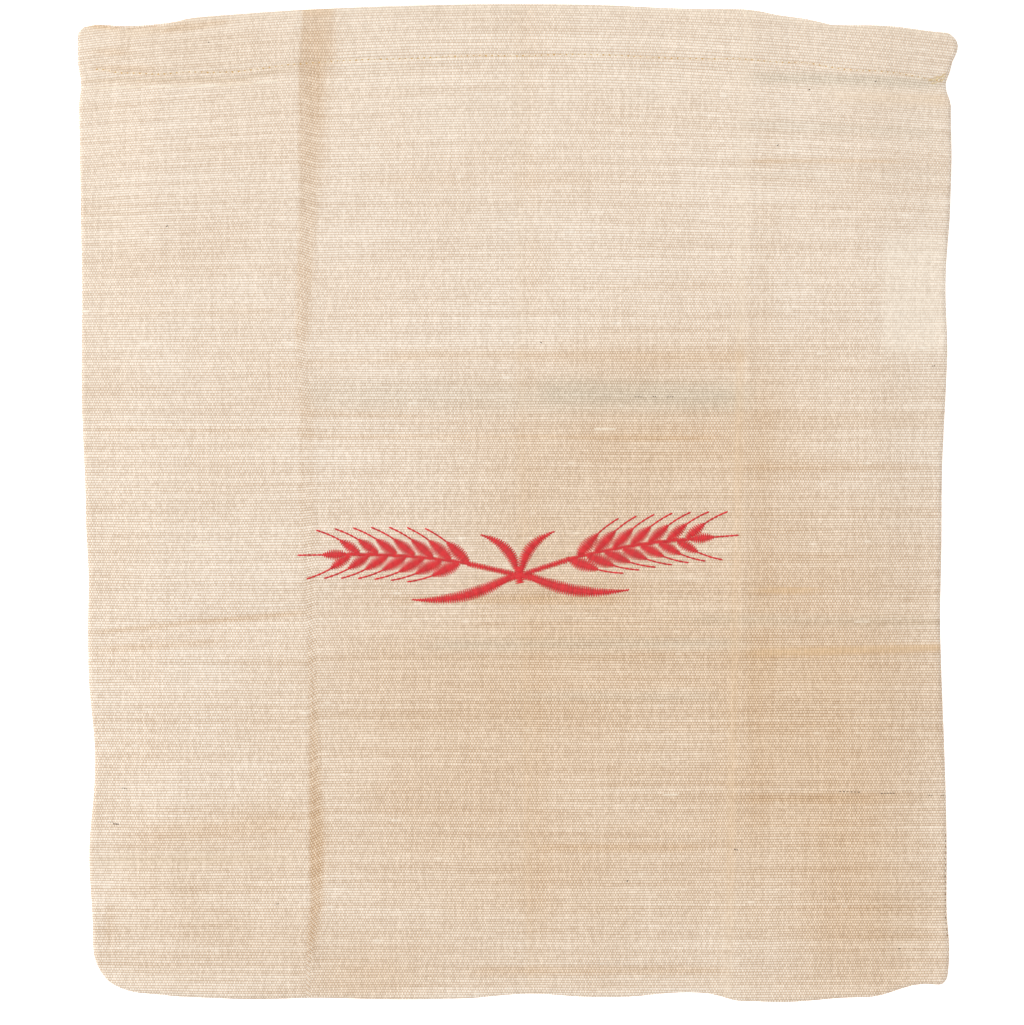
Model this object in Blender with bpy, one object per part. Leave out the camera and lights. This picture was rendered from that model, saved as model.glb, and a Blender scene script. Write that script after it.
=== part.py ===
"""Linen bread bag, lying flat on its back with the mouth to +Y.

The bag is one length of coarse linen, folded along its left side and seamed
inside down its right side and along its foot, with a deep hem round the mouth.
It has been folded in four lengthwise, so two ridges and a valley run down its
front. A small blank label is sewn into the right side seam, inside the bag.

Units are metres. X runs across the bag, Y from foot to mouth, Z up.
The origin lies under the middle of the bag, on the surface that it lies on.
"""
import math
from collections import namedtuple

import bmesh
import bpy
import numpy
from mathutils import Vector

# Driving sizes of the bag
HALF_WIDTH = 0.1750
LEFT_AT_MOUTH = -0.1788
LEFT_AT_FOOT = -0.1721
RIGHT_AT_MOUTH = 0.1762
RIGHT_AT_FOOT = 0.1740
MOUTH_Y = 0.2024
MOUTH_BOW = 0.0098
FOOT_Y = -0.2005
CLOTH = 0.0011
ROOM = 0.0057
EDGE_RADIUS = 0.0021
EDGE_REACH = 0.035
CORNER_REACH = 0.040
FOLD_START = 0.012

# Hem round the mouth
HEM_DEPTH = 0.0203
HEM_EXTRA = 0.0007
HEM_END = 0.0050
STITCH_GROOVE = 0.0004
STITCH_HALF = 0.0016
MOUTH_ROUND = 0.0003

# Corners of the outline
MOUTH_CORNER = 0.0032
FOOT_CORNER_LEFT = 0.0200
FOOT_CORNER_RIGHT = 0.0050

# Soft swells of each edge: where along the edge, how far to each side, and how far out
Swell = namedtuple("Swell", "at half_length outward")
LEFT_SWELLS = (
    Swell(0.1840, 0.0080, 0.0002),
    Swell(0.1710, 0.0090, -0.0010),
    Swell(0.0450, 0.0450, 0.0009),
    Swell(-0.0300, 0.0250, -0.0007),
    Swell(-0.1030, 0.0360, -0.0021),
    Swell(-0.1460, 0.0260, 0.0009),
)
RIGHT_SWELLS = (
    Swell(0.1855, 0.0085, 0.0027),
    Swell(0.1695, 0.0085, -0.0021),
    Swell(0.1400, 0.0200, 0.0004),
    Swell(0.0900, 0.0340, -0.0017),
    Swell(-0.0180, 0.0380, 0.0007),
    Swell(-0.0250, 0.1250, -0.0036),
    Swell(-0.1820, 0.0200, 0.0012),
)
MOUTH_SWELLS = (
    Swell(-0.1710, 0.0110, 0.0014),
    Swell(-0.1480, 0.0200, -0.0008),
    Swell(0.0600, 0.0300, -0.0005),
    Swell(0.0900, 0.0140, 0.0005),
    Swell(0.1070, 0.0130, -0.0006),
    Swell(0.1268, 0.0100, -0.0007),
    Swell(0.1320, 0.0340, -0.0027),
    Swell(0.1680, 0.0260, -0.0018),
)
FOOT_SWELLS = (
    Swell(-0.1580, 0.0280, -0.0018),
    Swell(-0.1060, 0.0300, 0.0008),
    Swell(-0.0450, 0.0500, 0.0009),
    Swell(0.0050, 0.0280, -0.0014),
    Swell(0.0690, 0.0300, -0.0020),
    Swell(0.0880, 0.0100, 0.0009),
    Swell(0.1060, 0.0330, 0.0020),
    Swell(0.1660, 0.0250, -0.0055),
)
FRONT_MOUTH_DROP = Swell(-0.1530, 0.0230, -0.0021)
HEM_SWELLS = (
    Swell(-0.1680, 0.0380, -0.0022),
    Swell(-0.1540, 0.0130, -0.0010),
    Swell(-0.1200, 0.0280, 0.0013),
    Swell(-0.1050, 0.0480, 0.0021),
    Swell(-0.0480, 0.0500, 0.0013),
    Swell(0.0000, 0.0260, 0.0008),
    Swell(0.1170, 0.0230, -0.0012),
    Swell(0.1268, 0.0100, -0.0007),
    Swell(0.1380, 0.0500, -0.0018),
)

# Lengthwise folds of the front, from left to right
Fold = namedtuple("Fold", "x_mouth x_foot height_mouth height_middle height_foot reach_left reach_right")
FOLD_CURVE = 1.6
FOLDS = (
    Fold(-0.0890, -0.0848, 0.0013, 0.0006, 0.0011, 0.045, 0.010),
    Fold(0.0030, 0.0090, -0.0005, -0.0003, -0.0005, 0.018, 0.016),
    Fold(0.0962, 0.0885, 0.0008, 0.0006, 0.0005, 0.022, 0.018),
)

# Crosswise creases of the front: where each starts and ends, its depth, and how far it runs out
# towards the mouth (above) and towards the foot (below)
Crease = namedtuple("Crease", "x_from x_to y_from y_to depth above below")
CREASES = (
    Crease(-0.172, -0.088, 0.0310, 0.0330, 0.0003, 0.0060, 0.0160),
    Crease(-0.084, 0.010, 0.0275, 0.0290, 0.0004, 0.0055, 0.0160),
    Crease(-0.171, -0.086, -0.0525, -0.0440, 0.0005, 0.0050, 0.0150),
    Crease(-0.171, -0.086, -0.0700, -0.0690, 0.0004, 0.0060, 0.0200),
    Crease(0.096, 0.174, 0.1510, 0.1540, 0.0004, 0.0070, 0.0160),
    Crease(0.088, 0.172, -0.1200, -0.1220, 0.0003, 0.0060, 0.0180),
)
CREASE_FADE = 0.020

# Broad slack of the front: centre, half length and half width of each, and its height
Slack = namedtuple("Slack", "x y half_x half_y height")
SLACKS = (
    Slack(-0.130, 0.100, 0.050, 0.110, 0.0004),
    Slack(-0.040, 0.060, 0.045, 0.120, 0.0005),
    Slack(0.048, 0.110, 0.045, 0.080, 0.0005),
    Slack(0.055, 0.020, 0.045, 0.050, -0.0002),
    Slack(0.045, -0.110, 0.045, 0.080, 0.0004),
    Slack(0.135, -0.070, 0.050, 0.090, -0.0002),
    Slack(-0.045, -0.130, 0.040, 0.080, 0.0003),
)

# Spacing of the mesh lines
COLUMN_PITCH = 0.0175
ROW_PITCH = 0.0165
EDGE_STEPS = (0.0, 0.0003, 0.0011, 0.0024, 0.0080, 0.0170, 0.0290)
FOLD_STEPS = (-0.010, -0.0035, 0.0, 0.0035, 0.010)
HEM_STEPS = (-0.0016, 0.0, 0.0016, 0.0052)
MOUTH_STEPS = (0.0, 0.0006, 0.0060)
CLOSEST = 0.0062
END_ZONE = 0.045

# Label sewn into the right side seam
LABEL_WIDTH = 0.0250
LABEL_TOP_Y = 0.1082
LABEL_FOOT_Y = 0.0615
LABEL_THICK = 0.0010
GAP = 0.0003
LABEL_SEAM_GAP = 0.0010

LINEN_COLOUR = (0.76, 0.66, 0.53, 1.0)
LABEL_COLOUR = (0.90, 0.88, 0.84, 1.0)


def ease(value):
    """Rise smoothly from 0 to 1 as value goes from 0 to 1."""
    held = min(max(value, 0.0), 1.0)
    return held * held * (3.0 - 2.0 * held)


def hump(distance, half_width):
    """A rounded hump of height 1 that ends level at half_width to each side."""
    if abs(distance) >= half_width:
        return 0.0
    return 0.5 + 0.5 * math.cos(math.pi * distance / half_width)


def swell(place, rows):
    """Sum of the soft swells of one edge at a place along it."""
    return sum(row.outward * hump(place - row.at, row.half_length) for row in rows)


def up_the_bag(y):
    """How far up the bag y lies: 0 at the foot, 1 at the mouth."""
    return (y - FOOT_Y) / (MOUTH_Y - FOOT_Y)


def left_edge(y):
    """X of the folded left side."""
    return LEFT_AT_FOOT + (LEFT_AT_MOUTH - LEFT_AT_FOOT) * up_the_bag(y) - swell(y, LEFT_SWELLS)


def right_edge(y):
    """X of the seamed right side."""
    return RIGHT_AT_FOOT + (RIGHT_AT_MOUTH - RIGHT_AT_FOOT) * up_the_bag(y) + swell(y, RIGHT_SWELLS)


def mouth_edge(x, front):
    """Y of the mouth's edge; the front lies a little lower near the left corner."""
    bow = MOUTH_BOW * (x / HALF_WIDTH) ** 2
    drop = swell(x, (FRONT_MOUTH_DROP,)) if front else 0.0
    return MOUTH_Y - bow + swell(x, MOUTH_SWELLS) + drop


def hem_depth(x):
    """Depth of the hem, from the mouth's edge to its stitching."""
    return HEM_DEPTH + swell(x, HEM_SWELLS)


def foot_edge(x):
    """Y of the foot's edge."""
    return FOOT_Y - swell(x, FOOT_SWELLS)


def fold_place(fold, y):
    """X of a lengthwise fold at height y on the bag."""
    return fold.x_foot + (fold.x_mouth - fold.x_foot) * up_the_bag(y)


def fold_height(fold, y):
    """Height of a lengthwise fold at y, from its values at mouth, middle and foot."""
    heights = (fold.height_foot, fold.height_middle, fold.height_mouth)
    return float(numpy.interp(y, (FOOT_Y, 0.0, MOUTH_Y), heights))


def folds_lift(x, y):
    """Height that the lengthwise folds add, each a sharp crest with curved flanks."""
    total = 0.0
    for fold in FOLDS:
        offset = x - fold_place(fold, y)
        reach = fold.reach_left if offset < 0.0 else fold.reach_right
        flank = max(1.0 - abs(offset) / reach, 0.0)
        total += fold_height(fold, y) * flank ** FOLD_CURVE
    return total


def creases_lift(x, y):
    """Depth of the crosswise creases, faded out at their ends."""
    total = 0.0
    for row in CREASES:
        along = (x - row.x_from) / (row.x_to - row.x_from)
        line = row.y_from + (row.y_to - row.y_from) * min(max(along, 0.0), 1.0)
        fade_in = ease((x - row.x_from) / CREASE_FADE + 0.5)
        fade_out = ease((row.x_to - x) / CREASE_FADE + 0.5)
        reach = row.above if y > line else row.below
        total -= row.depth * fade_in * fade_out * hump(y - line, reach)
    return total


def slack_lift(x, y):
    """Height of the broad, low swells between the folds."""
    return sum(row.height * hump(x - row.x, row.half_x) * hump(y - row.y, row.half_y) for row in SLACKS)


def edge_distance(from_side, from_foot, radius):
    """Distance from a side and the foot where they meet in a round corner."""
    if from_side >= radius or from_foot >= radius:
        return min(from_side, from_foot)
    return max(radius - math.hypot(radius - from_side, radius - from_foot), 0.0)


def front_lift(x, y, from_side, from_foot):
    """Height of the front above where it would lie if the bag were pressed shut."""
    inward = edge_distance(from_side, from_foot, CORNER_REACH)
    rise = CLOTH * 2.0 + ROOM - EDGE_RADIUS * 2.0
    relief = folds_lift(x, y) + creases_lift(x, y) + slack_lift(x, y)
    return rise * ease(inward / EDGE_REACH) + relief * ease(inward / FOLD_START)


def hem_amount(x, from_mouth):
    """1 on the hem, falling to 0 just past its stitching."""
    return 1.0 - ease((from_mouth - hem_depth(x)) / HEM_END)


def round_over(distance, radius):
    """Half height of the closed edge at a distance in from it."""
    inside = min(max(distance, 0.0), radius)
    return math.sqrt(max(radius * radius - (radius - inside) ** 2, 0.0))


def stations(low, high, kept, pitch):
    """Mesh lines from low to high: the kept ones, then even ones that crowd none of them."""
    lines = sorted(set(round(value, 6) for value in kept))
    count = int(round((high - low) / pitch))
    for step in range(1, count):
        even = low + (high - low) * step / count
        if min(abs(even - line) for line in lines) > CLOSEST:
            lines.append(even)
    return sorted(lines)


def column_lines():
    """Columns at the bag's nominal width: the two sides, the folds and even ones."""
    kept = [-HALF_WIDTH + step for step in EDGE_STEPS]
    kept += [HALF_WIDTH - step for step in EDGE_STEPS]
    kept += [fold_place(fold, 0.0) + step for fold in FOLDS for step in FOLD_STEPS]
    return stations(-HALF_WIDTH, HALF_WIDTH, kept, COLUMN_PITCH)


def row_lines():
    """Rows at the bag's nominal length: foot, creases, hem, mouth and even ones."""
    kept = [FOOT_Y + step for step in EDGE_STEPS]
    kept += [MOUTH_Y - step for step in MOUTH_STEPS]
    kept += [MOUTH_Y - HEM_DEPTH - step for step in HEM_STEPS]
    for row in CREASES:
        middle = (row.y_from + row.y_to) / 2.0
        if min(abs(middle - line) for line in kept) > CLOSEST:
            kept.append(middle)
    return stations(FOOT_Y, MOUTH_Y, kept, ROW_PITCH)


def shift_row(y_line, x, foot, mouth):
    """Y of a mesh line at x: it keeps its distance from the foot, the hem's stitching or the mouth."""
    lines = (FOOT_Y, FOOT_Y + END_ZONE, MOUTH_Y - END_ZONE, MOUTH_Y - HEM_DEPTH, MOUTH_Y)
    places = (foot, foot + END_ZONE, mouth - END_ZONE, mouth - hem_depth(x), mouth)
    return float(numpy.interp(y_line, lines, places))


def place_point(x_line, y_line, inset, front):
    """Lay one mesh line crossing on the bag's outline, moved in from the closed edges."""
    ends = (-HALF_WIDTH, HALF_WIDTH)
    side_y = [shift_row(y_line, end, foot_edge(end), mouth_edge(end, front)) for end in ends]
    left = left_edge(side_y[0]) + inset
    right = right_edge(side_y[1]) - inset
    x_knots = [-HALF_WIDTH] + [fold_place(fold, 0.0) for fold in FOLDS] + [HALF_WIDTH]
    x_places = [left] + [fold_place(fold, y_line) for fold in FOLDS] + [right]
    x = float(numpy.interp(x_line, x_knots, x_places))
    foot = foot_edge(x) + inset
    mouth = mouth_edge(x, front)
    y = shift_row(y_line, x, foot, mouth)
    side_left = x - left < right - x
    side = x - left if side_left else right - x
    foot_corner = (FOOT_CORNER_LEFT if side_left else FOOT_CORNER_RIGHT) - inset
    side, from_foot = round_corner(side, y - foot, foot_corner)
    side, from_mouth = round_corner(side, mouth - y, MOUTH_CORNER - inset)
    x = left + side if side_left else right - side
    y = foot + from_foot if from_foot < from_mouth else mouth - from_mouth
    return x, y, side, from_foot, from_mouth


def round_corner(along_a, along_b, radius):
    """Bend the square corner of a grid into a quarter circle."""
    if along_a >= radius or along_b >= radius:
        return along_a, along_b
    p = 1.0 - along_a / radius
    q = 1.0 - along_b / radius
    bent_p = p * math.sqrt(1.0 - q * q / 2.0)
    bent_q = q * math.sqrt(1.0 - p * p / 2.0)
    return radius * (1.0 - bent_p), radius * (1.0 - bent_q)


def mouth_rounding(from_mouth):
    """How far each face of the hem curls in at the mouth's very edge."""
    if from_mouth > MOUTH_STEPS[1]:
        return 0.0
    return MOUTH_ROUND * (1.0 - from_mouth / MOUTH_STEPS[1])


def skin_point(x_line, y_line, inset, front, closed):
    """One point of the outer skin (inset 0) or the inner skin, of the front or the back."""
    x, y, side, from_foot, from_mouth = place_point(x_line, y_line, inset, front)
    corner = (FOOT_CORNER_LEFT if x < 0.0 else FOOT_CORNER_RIGHT) - inset
    radius = EDGE_RADIUS - inset
    if closed:
        return x, y, EDGE_RADIUS
    half = round_over(edge_distance(side, from_foot, corner), radius)
    inner = inset > 0.0
    curl = mouth_rounding(from_mouth) * (-1.0 if inner else 1.0)
    hem = HEM_EXTRA * hem_amount(x, from_mouth) * ease(side / EDGE_STEPS[4])
    if not front:
        return x, y, EDGE_RADIUS - half + curl + (hem if inner else 0.0)
    lift = front_lift(x, y, side + inset, from_foot + inset)
    groove = STITCH_GROOVE * hump(from_mouth - hem_depth(x), STITCH_HALF)
    top = 0.0 if inner else hem - groove * ease(side / EDGE_STEPS[4])
    return x, y, EDGE_RADIUS + half + lift + top - curl


def add_skin(mesh, columns, rows, inset):
    """One skin of the pocket: a front and a back sheet that share the sides and the foot."""
    last = len(columns) - 1
    sheets = []
    for front in (True, False):
        sheet = []
        for j, y_line in enumerate(rows):
            line = []
            for i, x_line in enumerate(columns):
                closed = i in (0, last) or j == 0
                if closed and not front:
                    line.append(sheets[0][j][i])
                else:
                    line.append(mesh.verts.new(skin_point(x_line, y_line, inset, front, closed)))
            sheet.append(line)
        sheets.append(sheet)
    outward = inset == 0.0
    for sheet, up in zip(sheets, (outward, not outward)):
        for low, high in zip(sheet[:-1], sheet[1:]):
            for i in range(last):
                corners = [low[i], low[i + 1], high[i + 1], high[i]]
                mesh.faces.new(corners if up else corners[::-1])
    return sheets


def close_mouth(mesh, outer, inner):
    """Join the outer and inner skins along the mouth, with the hem's rounded edge."""
    outer_ring = outer[0][-1] + outer[1][-1][-2:0:-1]
    inner_ring = inner[0][-1] + inner[1][-1][-2:0:-1]
    count = len(outer_ring)
    for k in range(count):
        n = (k + 1) % count
        mesh.faces.new((outer_ring[k], outer_ring[n], inner_ring[n], inner_ring[k]))


def make_object(name, mesh, colour, roughness):
    """Turn a bmesh into a named object with its own Principled material."""
    bmesh.ops.recalc_face_normals(mesh, faces=mesh.faces)
    bmesh.ops.triangulate(mesh, faces=mesh.faces, quad_method="SHORT_EDGE")
    data = bpy.data.meshes.new(name)
    mesh.to_mesh(data)
    mesh.free()
    data.shade_smooth()
    thing = bpy.data.objects.new(name, data)
    bpy.context.scene.collection.objects.link(thing)
    material = bpy.data.materials.new(name + "_material")
    material.use_nodes = True
    shader = material.node_tree.nodes["Principled BSDF"]
    shader.inputs["Base Color"].default_value = colour
    shader.inputs["Roughness"].default_value = roughness
    shader.inputs["Metallic"].default_value = 0.0
    data.materials.append(material)
    return thing


def make_bag():
    """The cloth of the bag: an outer and an inner skin joined round the mouth."""
    mesh = bmesh.new()
    columns = column_lines()
    rows = row_lines()
    outer = add_skin(mesh, columns, rows, 0.0)
    inner = add_skin(mesh, columns, rows, CLOTH)
    close_mouth(mesh, outer, inner)
    return make_object("bag_cloth", mesh, LINEN_COLOUR, 0.9)


def make_label():
    """The blank label: a thin tab held at the side seam, just above the back cloth."""
    mesh = bmesh.new()
    seam = min(right_edge(LABEL_FOOT_Y), right_edge(LABEL_TOP_Y)) - CLOTH - LABEL_SEAM_GAP
    size = Vector((LABEL_WIDTH, LABEL_TOP_Y - LABEL_FOOT_Y, LABEL_THICK))
    bmesh.ops.create_cube(mesh, size=1.0)
    bmesh.ops.scale(mesh, vec=size, verts=mesh.verts)
    middle_y = (LABEL_TOP_Y + LABEL_FOOT_Y) / 2.0
    place = Vector((seam - LABEL_WIDTH / 2.0, middle_y, CLOTH + GAP + LABEL_THICK / 2.0))
    bmesh.ops.translate(mesh, vec=place, verts=mesh.verts)
    return make_object("inner_label", mesh, LABEL_COLOUR, 0.6)


def clear_scene():
    """Remove whatever the scene holds."""
    for thing in list(bpy.data.objects):
        bpy.data.objects.remove(thing, do_unlink=True)


clear_scene()
make_bag()
make_label()
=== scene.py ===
"""Looks of the linen bread bag: fine cloth, weave, sewing, red stitched wheat, label, floor and lights.

Metres, +Z up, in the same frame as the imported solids. The bag lies on its back with its mouth to +Y.
The outline and the folds below are those of the bag's own solid, drawn finer.
"""

import math
from collections import namedtuple

import bpy
import numpy as np
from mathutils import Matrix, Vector


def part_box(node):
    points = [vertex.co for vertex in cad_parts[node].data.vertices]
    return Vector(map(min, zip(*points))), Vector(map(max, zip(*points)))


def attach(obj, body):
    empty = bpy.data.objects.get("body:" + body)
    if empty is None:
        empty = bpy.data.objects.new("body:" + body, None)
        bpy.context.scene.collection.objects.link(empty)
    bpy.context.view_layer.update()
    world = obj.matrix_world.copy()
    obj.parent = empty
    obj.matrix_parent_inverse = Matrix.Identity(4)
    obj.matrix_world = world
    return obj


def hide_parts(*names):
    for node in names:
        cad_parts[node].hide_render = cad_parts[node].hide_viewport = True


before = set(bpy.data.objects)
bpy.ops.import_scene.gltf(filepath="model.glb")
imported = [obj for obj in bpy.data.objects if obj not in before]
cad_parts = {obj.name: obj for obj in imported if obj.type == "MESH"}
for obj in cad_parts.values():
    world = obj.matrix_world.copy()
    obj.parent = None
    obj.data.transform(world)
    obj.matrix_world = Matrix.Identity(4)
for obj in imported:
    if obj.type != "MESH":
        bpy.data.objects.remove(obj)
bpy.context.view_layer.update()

# Photograph: its frame, and where the bag lies in it
PHOTO_WIDTH_PX = 1024
PHOTO_HEIGHT_PX = 1025
BAG_CENTRE_PX = (517.5, 503.5)
PIXEL = 0.000406


def table(kind, rows):
    """Rows of numbers as records with named columns."""
    return tuple(kind(*row) for row in rows)


# Outline of the bag
HALF_WIDTH = 0.175
LEFT_AT_MOUTH = -0.1788
LEFT_AT_FOOT = -0.1721
RIGHT_AT_MOUTH = 0.1762
RIGHT_AT_FOOT = 0.174
MOUTH_Y = 0.2024
MOUTH_BOW = 0.0098
FOOT_Y = -0.2005
END_ZONE = 0.045
MOUTH_CORNER = 0.0032
FOOT_CORNER_LEFT = 0.02
FOOT_CORNER_RIGHT = 0.005

# Heights of the bag's solid
SOLID_CLOTH = 0.0011
ROOM = 0.0057
EDGE_RADIUS = 0.0021
EDGE_REACH = 0.035
CORNER_REACH = 0.04
FOLD_START = 0.012
FOLD_CURVE = 1.6
CREASE_FADE = 0.02

# The cloth itself, and its hem
CLOTH = 0.0009
HEM_DEPTH = 0.0203
HEM_EXTRA = 0.0007
HEM_END = 0.004
MOUTH_ROLL = 0.0007
STITCH_GROOVE = 0.00045
STITCH_HALF = 0.0016
MOUTH_SMOOTH = 0.4
MOUTH_SMOOTH_REACH = 0.005

# Soft swells of each edge: where along the edge, how far to each side, and how far out
Swell = namedtuple("Swell", "at half_length outward")
LEFT_SWELLS = table(Swell, (
    (0.184, 0.008, 0.0002),
    (0.171, 0.009, -0.001),
    (0.045, 0.045, 0.0009),
    (-0.03, 0.025, -0.0007),
    (-0.103, 0.036, -0.0021),
    (-0.146, 0.026, 0.0009),
))
RIGHT_SWELLS = table(Swell, (
    (0.1855, 0.0085, 0.0027),
    (0.1695, 0.0085, -0.0021),
    (0.14, 0.02, 0.0004),
    (0.09, 0.034, -0.0017),
    (-0.018, 0.038, 0.0007),
    (-0.025, 0.125, -0.0036),
    (-0.182, 0.02, 0.0012),
))
MOUTH_SWELLS = table(Swell, (
    (-0.171, 0.011, 0.0014),
    (-0.148, 0.02, -0.0008),
    (0.06, 0.03, -0.0005),
    (0.09, 0.014, 0.0005),
    (0.107, 0.013, -0.0006),
    (0.1268, 0.01, -0.0007),
    (0.132, 0.034, -0.0027),
    (0.168, 0.026, -0.0018),
))
FOOT_SWELLS = table(Swell, (
    (-0.158, 0.028, -0.0018),
    (-0.106, 0.03, 0.0008),
    (-0.045, 0.05, 0.0009),
    (0.005, 0.028, -0.0014),
    (0.069, 0.03, -0.002),
    (0.088, 0.01, 0.0009),
    (0.106, 0.033, 0.002),
    (0.166, 0.025, -0.0055),
))
FRONT_MOUTH_DROP = Swell(-0.153, 0.023, -0.0021)
HEM_SWELLS = table(Swell, (
    (-0.168, 0.038, -0.0022),
    (-0.154, 0.013, -0.001),
    (-0.12, 0.028, 0.0013),
    (-0.105, 0.048, 0.0021),
    (-0.048, 0.05, 0.0013),
    (0.0, 0.026, 0.0008),
    (0.117, 0.023, -0.0012),
    (0.1268, 0.01, -0.0007),
    (0.138, 0.05, -0.0018),
))

# Lengthwise folds of the front, from left to right
Fold = namedtuple("Fold", "x_mouth x_foot height_mouth height_middle height_foot reach_left reach_right")
FOLDS = table(Fold, (
    (-0.089, -0.0848, 0.0013, 0.0006, 0.0011, 0.045, 0.01),
    (0.003, 0.009, -0.0005, -0.0003, -0.0005, 0.018, 0.016),
    (0.0962, 0.0885, 0.0008, 0.0006, 0.0005, 0.022, 0.018),
))

# Crosswise creases of the front: where each starts and ends, its depth, and how far it runs out
# towards the mouth (above) and towards the foot (below)
Crease = namedtuple("Crease", "x_from x_to y_from y_to depth above below")
CREASES = table(Crease, (
    (-0.172, -0.088, 0.031, 0.033, 0.0003, 0.006, 0.016),
    (-0.084, 0.01, 0.0275, 0.029, 0.0004, 0.0055, 0.016),
    (-0.171, -0.086, -0.0525, -0.044, 0.0005, 0.005, 0.015),
    (-0.171, -0.086, -0.07, -0.069, 0.0004, 0.006, 0.02),
    (0.096, 0.174, 0.151, 0.154, 0.0004, 0.007, 0.016),
    (0.088, 0.172, -0.12, -0.122, 0.0003, 0.006, 0.018),
))

# Fine creases, only a thread or two deep, drawn on top of the main ones
FINE_CREASES = table(Crease, (
    (-0.18, -0.112, 0.1709, 0.1712, 0.0003, 0.0018, 0.003),
    (-0.113, -0.09, 0.1715, 0.1765, 0.0003, 0.0018, 0.0028),
    (-0.146, -0.118, 0.1915, 0.1946, 0.00045, 0.0016, 0.003),
    (-0.171, -0.088, -0.053, -0.044, 0.00022, 0.0018, 0.003),
    (-0.171, -0.088, -0.0655, -0.065, 0.00018, 0.002, 0.003),
    (-0.086, 0.0, 0.0272, 0.0286, 0.0002, 0.0018, 0.003),
    (0.094, 0.15, 0.169, 0.17, 0.00025, 0.002, 0.0034),
    (0.094, 0.12, 0.132, 0.1335, 0.00022, 0.0018, 0.0026),
    (-0.045, 0.012, -0.1895, -0.188, 0.00022, 0.0018, 0.0026),
    (0.03, 0.086, -0.189, -0.1885, 0.0002, 0.0018, 0.0026),
    (0.096, 0.13, 0.015, 0.0135, 0.00016, 0.0018, 0.0026),
))

# Broad slack of the front: centre, half length and half width of each, and its height
Slack = namedtuple("Slack", "x y half_x half_y height")
SLACKS = table(Slack, (
    (-0.13, 0.1, 0.05, 0.11, 0.0004),
    (-0.04, 0.06, 0.045, 0.12, 0.0005),
    (0.048, 0.11, 0.045, 0.08, 0.0005),
    (0.055, 0.02, 0.045, 0.05, -0.0002),
    (0.045, -0.11, 0.045, 0.08, 0.0004),
    (0.135, -0.07, 0.05, 0.09, -0.0002),
    (-0.045, -0.13, 0.04, 0.08, 0.0003),
))

# Tone of the cloth: soft patches where it is darker and warmer (up to 1) or paler (below 0); partly the
# cloth's own uneven tone, partly painted shade of the front's broad darkening towards the lower right
Tone = namedtuple("Tone", "x y half_x half_y amount")
TONE_AND_SHADE_PATCHES = table(Tone, (
    (0.06, -0.06, 0.15, 0.17, 0.42),
    (0.13, -0.11, 0.09, 0.13, 0.34),
    (-0.135, 0.12, 0.08, 0.09, 0.07),
    (0.065, 0.035, 0.07, 0.05, 0.3),
    (0.15, -0.18, 0.06, 0.05, 0.25),
    (0.11, 0.03, 0.04, 0.06, 0.12),
    (-0.11, -0.16, 0.1, 0.08, 0.16),
    (0.02, -0.07, 0.06, 0.06, 0.1),
    (-0.08, 0.175, 0.012, 0.042, 0.2),
    (-0.045, -0.088, 0.085, 0.085, 0.36),
    (0.01, -0.13, 0.09, 0.07, 0.12),
    (0.03, -0.05, 0.08, 0.055, 0.16),
    (0.02, 0.012, 0.085, 0.055, 0.15),
    (0.14, -0.15, 0.05, 0.07, 0.2),
    (-0.135, 0.188, 0.055, 0.026, 0.18),
    (-0.13, -0.16, 0.06, 0.06, 0.15),
    (0.125, 0.182, 0.06, 0.03, -0.26),
    (0.145, 0.0, 0.04, 0.12, 0.0),
    (-0.164, -0.17, 0.003, 0.018, 0.4),
    (0.0, -0.16, 0.1, 0.055, 0.2),
    (-0.06, -0.192, 0.04, 0.024, 0.32),
))
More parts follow.
